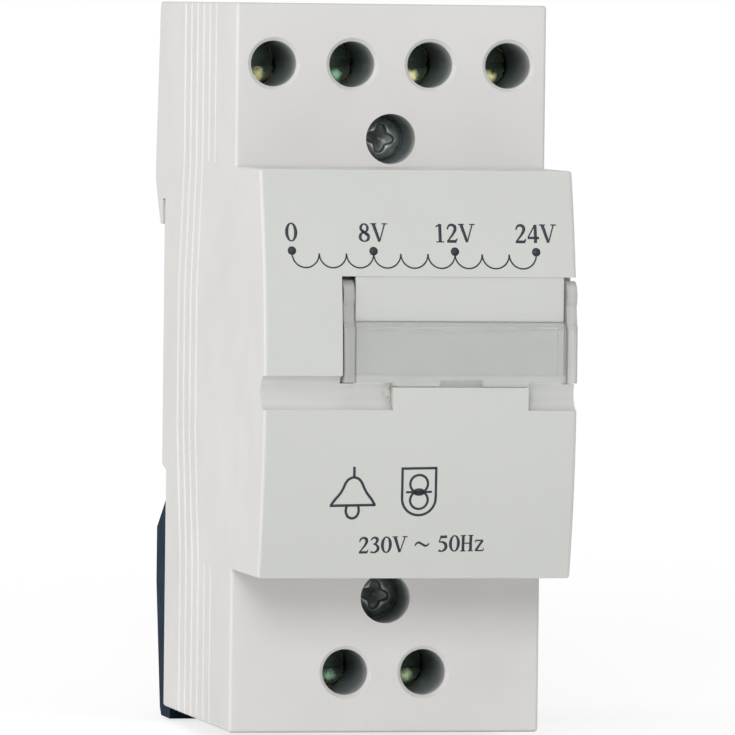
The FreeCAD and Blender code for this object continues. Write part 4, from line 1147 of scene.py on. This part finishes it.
@dataclass
class RailClip:
    """The sliding clip and the coil spring that pushes it up."""

    wire: float = 0.00045
    turns: float = 6.0
    open_share: float = 0.6
    around: int = 10
    per_turn: int = 28

    def spring(self) -> Mesh:
        """A round wire along a helix.

        Point (i, k) stands on the helix at angle a = i steps of a turn, height rising evenly, moved out by
        the wire's radius at angle b = k tenths of a turn: radius by cos b and height by sin b. Each end
        closes to a point on the helix.

        Returns:
            Points and faces.
        """
        low, high = (np.array(corner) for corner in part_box("clip_spring"))
        middle = (low + high) / 2
        wire = self.wire / 2
        coil = (high[0] - low[0]) / 2 - wire
        stations = int(self.turns * self.per_turn) + 1
        turn = np.linspace(0, 2 * math.pi * self.turns, stations)
        highlight_milk_tone = np.full(stations, wire)
        turn = np.concatenate([turn[:1], turn, turn[-1:]])
        highlight_milk_tone = np.concatenate([[0.0], highlight_milk_tone, [0.0]])
        height = np.interp(turn, turn[[0, -1]], [low[2] + wire, high[2] - wire])
        around = np.linspace(0, 2 * math.pi, self.around, endpoint=False)
        radius = coil + highlight_milk_tone[:, None] * np.cos(around)
        points = np.stack([
            middle[0] + radius * np.cos(turn)[:, None],
            middle[1] + radius * np.sin(turn)[:, None],
            height[:, None] + highlight_milk_tone[:, None] * np.sin(around),
        ], axis=-1)
        return points.reshape(-1, 3), loop_faces(len(turn), self.around)[:, ::-1]

    def build(self) -> None:
        """Dress the clip and put the round spring in place of the plain one."""
        dress("rail_clip", CLIP_BLACK.material())
        coil = put("clip_spring_coil", self.spring(), "housing", SPRING_STEEL.material())
        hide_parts("clip_spring")
        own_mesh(coil)


@dataclass
class LabelFlap:
    """The clear flap over the label field."""

    node: str = "label_flap"

    def dress(self) -> None:
        """Clear glossy plastic."""
        dress(self.node, FLAP_CLEAR.material())


@dataclass
class Coil:
    """Core, bobbin, windings, tapes and thermal link."""

    core: tuple[str, ...] = ("core_e", "core_i")
    coil_names: tuple[str, ...] = ("primary", "secondary")

    def dress(self) -> None:
        """Varnished laminations, copper turns, amber tape and a white link case."""
        iron = LAMINATIONS.material()
        for node in self.core:
            dress(node, iron)
        copper, tape = COPPER.material(), TAPE_AMBER.material()
        for name in self.coil_names:
            dress(f"{name}_winding", copper)
            dress(f"{name}_tape", tape)
        dress("bobbin", NYLON.material())
        dress("thermal_link", LINK_CASE.material())


@dataclass
class Terminals:
    """Trays, brass blocks, their screws and the leads to the coil."""

    trays: tuple[str, ...] = ("upper_terminal_tray", "lower_terminal_tray")
    leads: dict[str, Colour] = field(default_factory=lambda: dict(LEAD_COLOURS))
    screws: str = "terminal_screws"
    dull: float = 0.6
    deep: float = 0.3
    glint_right: float = 0.0006
    glint_below: float = 0.00125

    def dress(self) -> None:
        """Nylon trays, drawn brass, passivated screws and coloured insulation."""
        tray = NYLON.material()
        for node in self.trays:
            dress(node, tray)
        brass = BRASS.material()
        for name, colour in self.leads.items():
            dress(f"terminal_{name}", brass)
            # dull gives the insulation its darker corner tone, and deep gives its painted shade deep in wells.
            dull, deep = scaled(colour, self.dull), scaled(colour, self.deep)
            cover = MouldedPlastic(f"insulation_{name}", colour, dull, deep, rough=0.35, grain=0.0003)
            dress(f"lead_{name}", cover.material())
        # The terminal screws get painted shade, with a painted glint low on each head.
        dress(self.screws, replace(PASSIVATED, glint_spots=self.glint_points()).material())

    def glint_points(self) -> tuple[Place, ...]:
        """Where each head gets its painted glint: to the right of its axis and below it.

        Returns:
            One point on the front of each head.
        """
        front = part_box(self.screws)[0].y
        boxes = [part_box(f"terminal_{name}") for name in self.leads]
        middles = [(low + high) / 2 for low, high in boxes]
        return tuple((middle.x + self.glint_right, front, middle.z - self.glint_below) for middle in middles)


@dataclass
class Lamp:
    """One soft box: place, size, power, colour and the point that it is aimed at."""

    name: str
    place: Place
    size: float
    power: float
    colour: Colour = (1.0, 1.0, 1.0)
    aim: Place = (0.0, -0.025, 0.0)

    def build(self) -> None:
        """Hang the soft box and turn it to the object."""
        data = bpy.data.lights.new(self.name, "AREA")
        data.shape = "SQUARE"
        data.size = self.size
        data.energy = self.power
        data.color = self.colour
        lamp = bpy.data.objects.new(self.name, data)
        lamp.location = self.place
        ahead = Vector(self.aim) - Vector(self.place)
        lamp.rotation_euler = ahead.to_track_quat("-Z", "Y").to_euler()
        bpy.context.scene.collection.objects.link(lamp)


@dataclass
class Studio:
    """Camera, soft light, pale floor and white surroundings."""

    azimuth: float = -11.33
    elevation: float = 2.16
    roll: float = 0.67
    distance: float = 1.1105
    target: Place = (0.00204, -0.0220, -0.00071)
    focal_pixels: float = 9618.8
    frame_pixels: float = 735.0
    sensor: float = 36.0
    far: float = 100.0
    surround: float = 0.33
    surround_tint: Colour = (0.985, 1.0, 0.985)
    floor_edge: float = 60.0
    floor_gap: float = 0.0003
    floor_cloud: float = 0.3
    floor_tones: tuple[Colour, Colour] = ((0.80, 0.80, 0.80), (0.84, 0.84, 0.84))
    floor_rough: float = 0.9
    floor_glow: float = 0.18
    floor_grey: float = 0.4
    floor_white: float = 1.02
    pool_light: float = 0.33
    pool_reach: float = 0.45
    lamps: tuple[Lamp, ...] = (
        Lamp("side_box", (-1.08, -0.12, 0.25), 0.5, 4.2, (1.0, 0.965, 0.94)),
        Lamp("top_box", (-0.05, -0.62, 0.95), 0.9, 1.6),
        Lamp("front_box", (-0.32, -1.15, 0.40), 0.4, 5.4),
    )

    def camera(self) -> None:
        """A long lens at the angle of the view, with a slight roll."""
        azimuth, elevation, roll = (math.radians(a) for a in (self.azimuth, self.elevation, self.roll))
        level = math.cos(elevation)
        ahead = Vector((-math.sin(azimuth) * level, math.cos(azimuth) * level, -math.sin(elevation)))
        right = Vector((math.cos(azimuth), math.sin(azimuth), 0.0))
        up = right.cross(ahead)
        across = right * math.cos(roll) + up * math.sin(roll)
        upward = up * math.cos(roll) - right * math.sin(roll)
        data = bpy.data.cameras.new("view")
        data.sensor_width = self.sensor
        data.lens = self.focal_pixels / self.frame_pixels * self.sensor
        data.clip_end = self.far
        camera = bpy.data.objects.new("view", data)
        turned = Matrix((across, upward, -ahead)).transposed().to_4x4()
        camera.matrix_world = Matrix.Translation(Vector(self.target) - ahead * self.distance) @ turned
        bpy.context.scene.collection.objects.link(camera)
        bpy.context.scene.camera = camera

    def surroundings(self) -> None:
        """White where it is seen, and a plain grey level of light elsewhere."""
        world = bpy.data.worlds.new("surroundings")
        world.use_nodes = True
        nodes = Nodes(world.node_tree)
        light = nodes.tree.nodes["Background"]
        nodes.feed(light.inputs["Color"], (*self.surround_tint, 1.0))
        nodes.feed(light.inputs["Strength"], self.surround)
        white = nodes.node("Background", "Background", {"Color": WHITE})
        shown = nodes.mix(nodes.seen(), light.outputs["Background"], white)
        nodes.feed(nodes.tree.nodes["World Output"].inputs["Surface"], shown)
        bpy.context.scene.world = world

    def floor_finish(self, middle: Place) -> bpy.types.Material:
        """A pale finish that is white where it is seen, apart from a soft shadow.

        Its glow makes up to white what the light on it lacks. That light is the surroundings', and a pool
        from the lamps that falls with distance as one over one plus the square of the distance in pool
        reaches.

        Args:
            middle: the point of the floor under the object.

        Returns:
            The finished material.
        """
        graph = Graph("pale_floor")
        spread = graph.calculate("DIVIDE", graph.distance(middle), self.pool_reach)
        fall = graph.calculate("ADD", graph.calculate("POWER", spread, 2.0), 1.0)
        pool = graph.calculate("POWER", fall, -1.0)
        lacking = graph.calculate("MULTIPLY", pool, -self.floor_grey * self.pool_light)
        lacking_far = self.floor_white - self.floor_grey * self.surround
        glow = graph.node("Emission", "Emission", {"Strength": graph.calculate("ADD", lacking, lacking_far)})
        grey = (self.floor_grey, self.floor_grey, self.floor_grey, 1.0)
        pale = graph.node("BsdfDiffuse", "BSDF", {"Color": grey})
        shown = graph.node("AddShader", "Shader", {0: pale, 1: glow})
        graph.surface(graph.mix(graph.seen(), graph.shader.outputs["BSDF"], shown))
        colour = graph.blend(graph.noise(self.floor_cloud), *self.floor_tones)
        return graph.finish(Base_Color=colour, Roughness=self.floor_rough, Emission_Color=WHITE,
                            Emission_Strength=self.floor_glow)

    def floor(self, height: float) -> None:
        """A wide square floor just under the object.

        Args:
            height: Z of the object's lowest point.
        """
        edge = self.floor_edge
        z = height - self.floor_gap
        data = bpy.data.meshes.new("floor")
        points = [(-edge, -edge, z), (edge, -edge, z), (edge, edge, z), (-edge, edge, z)]
        data.from_pydata(points, [], [(0, 1, 2, 3)])
        data.materials.append(self.floor_finish((0.0, 0.0, z)))
        floor = bpy.data.objects.new("floor", data)
        bpy.context.scene.collection.objects.link(floor)
        floor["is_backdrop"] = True

    def build(self, low: float) -> None:
        """Set up the whole studio.

        Args:
            low: Z of the object's lowest point.
        """
        bpy.context.scene.view_settings.view_transform = "Standard"
        self.camera()
        self.surroundings()
        self.floor(low)
        for lamp in self.lamps:
            lamp.build()


def corners() -> list[list[float]]:
    """Lowest and highest corner of the shown object, as plain lists."""
    return [[float(value) for value in corner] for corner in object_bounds()]


def main() -> None:
    """Dress the frame, add the printed marks, the screws and the spring, and set up the studio."""
    logging.basicConfig(level=logging.INFO, format="%(name)s: %(message)s")
    cad_box = corners()
    Housing().dress()
    CoverScrews().build()
    RailClip().build()
    LabelFlap().dress()
    Coil().dress()
    Terminals().dress()
    NosePrint().build()
    Studio().build(cad_box[0][2])


if __name__ == "__main__":
    main()
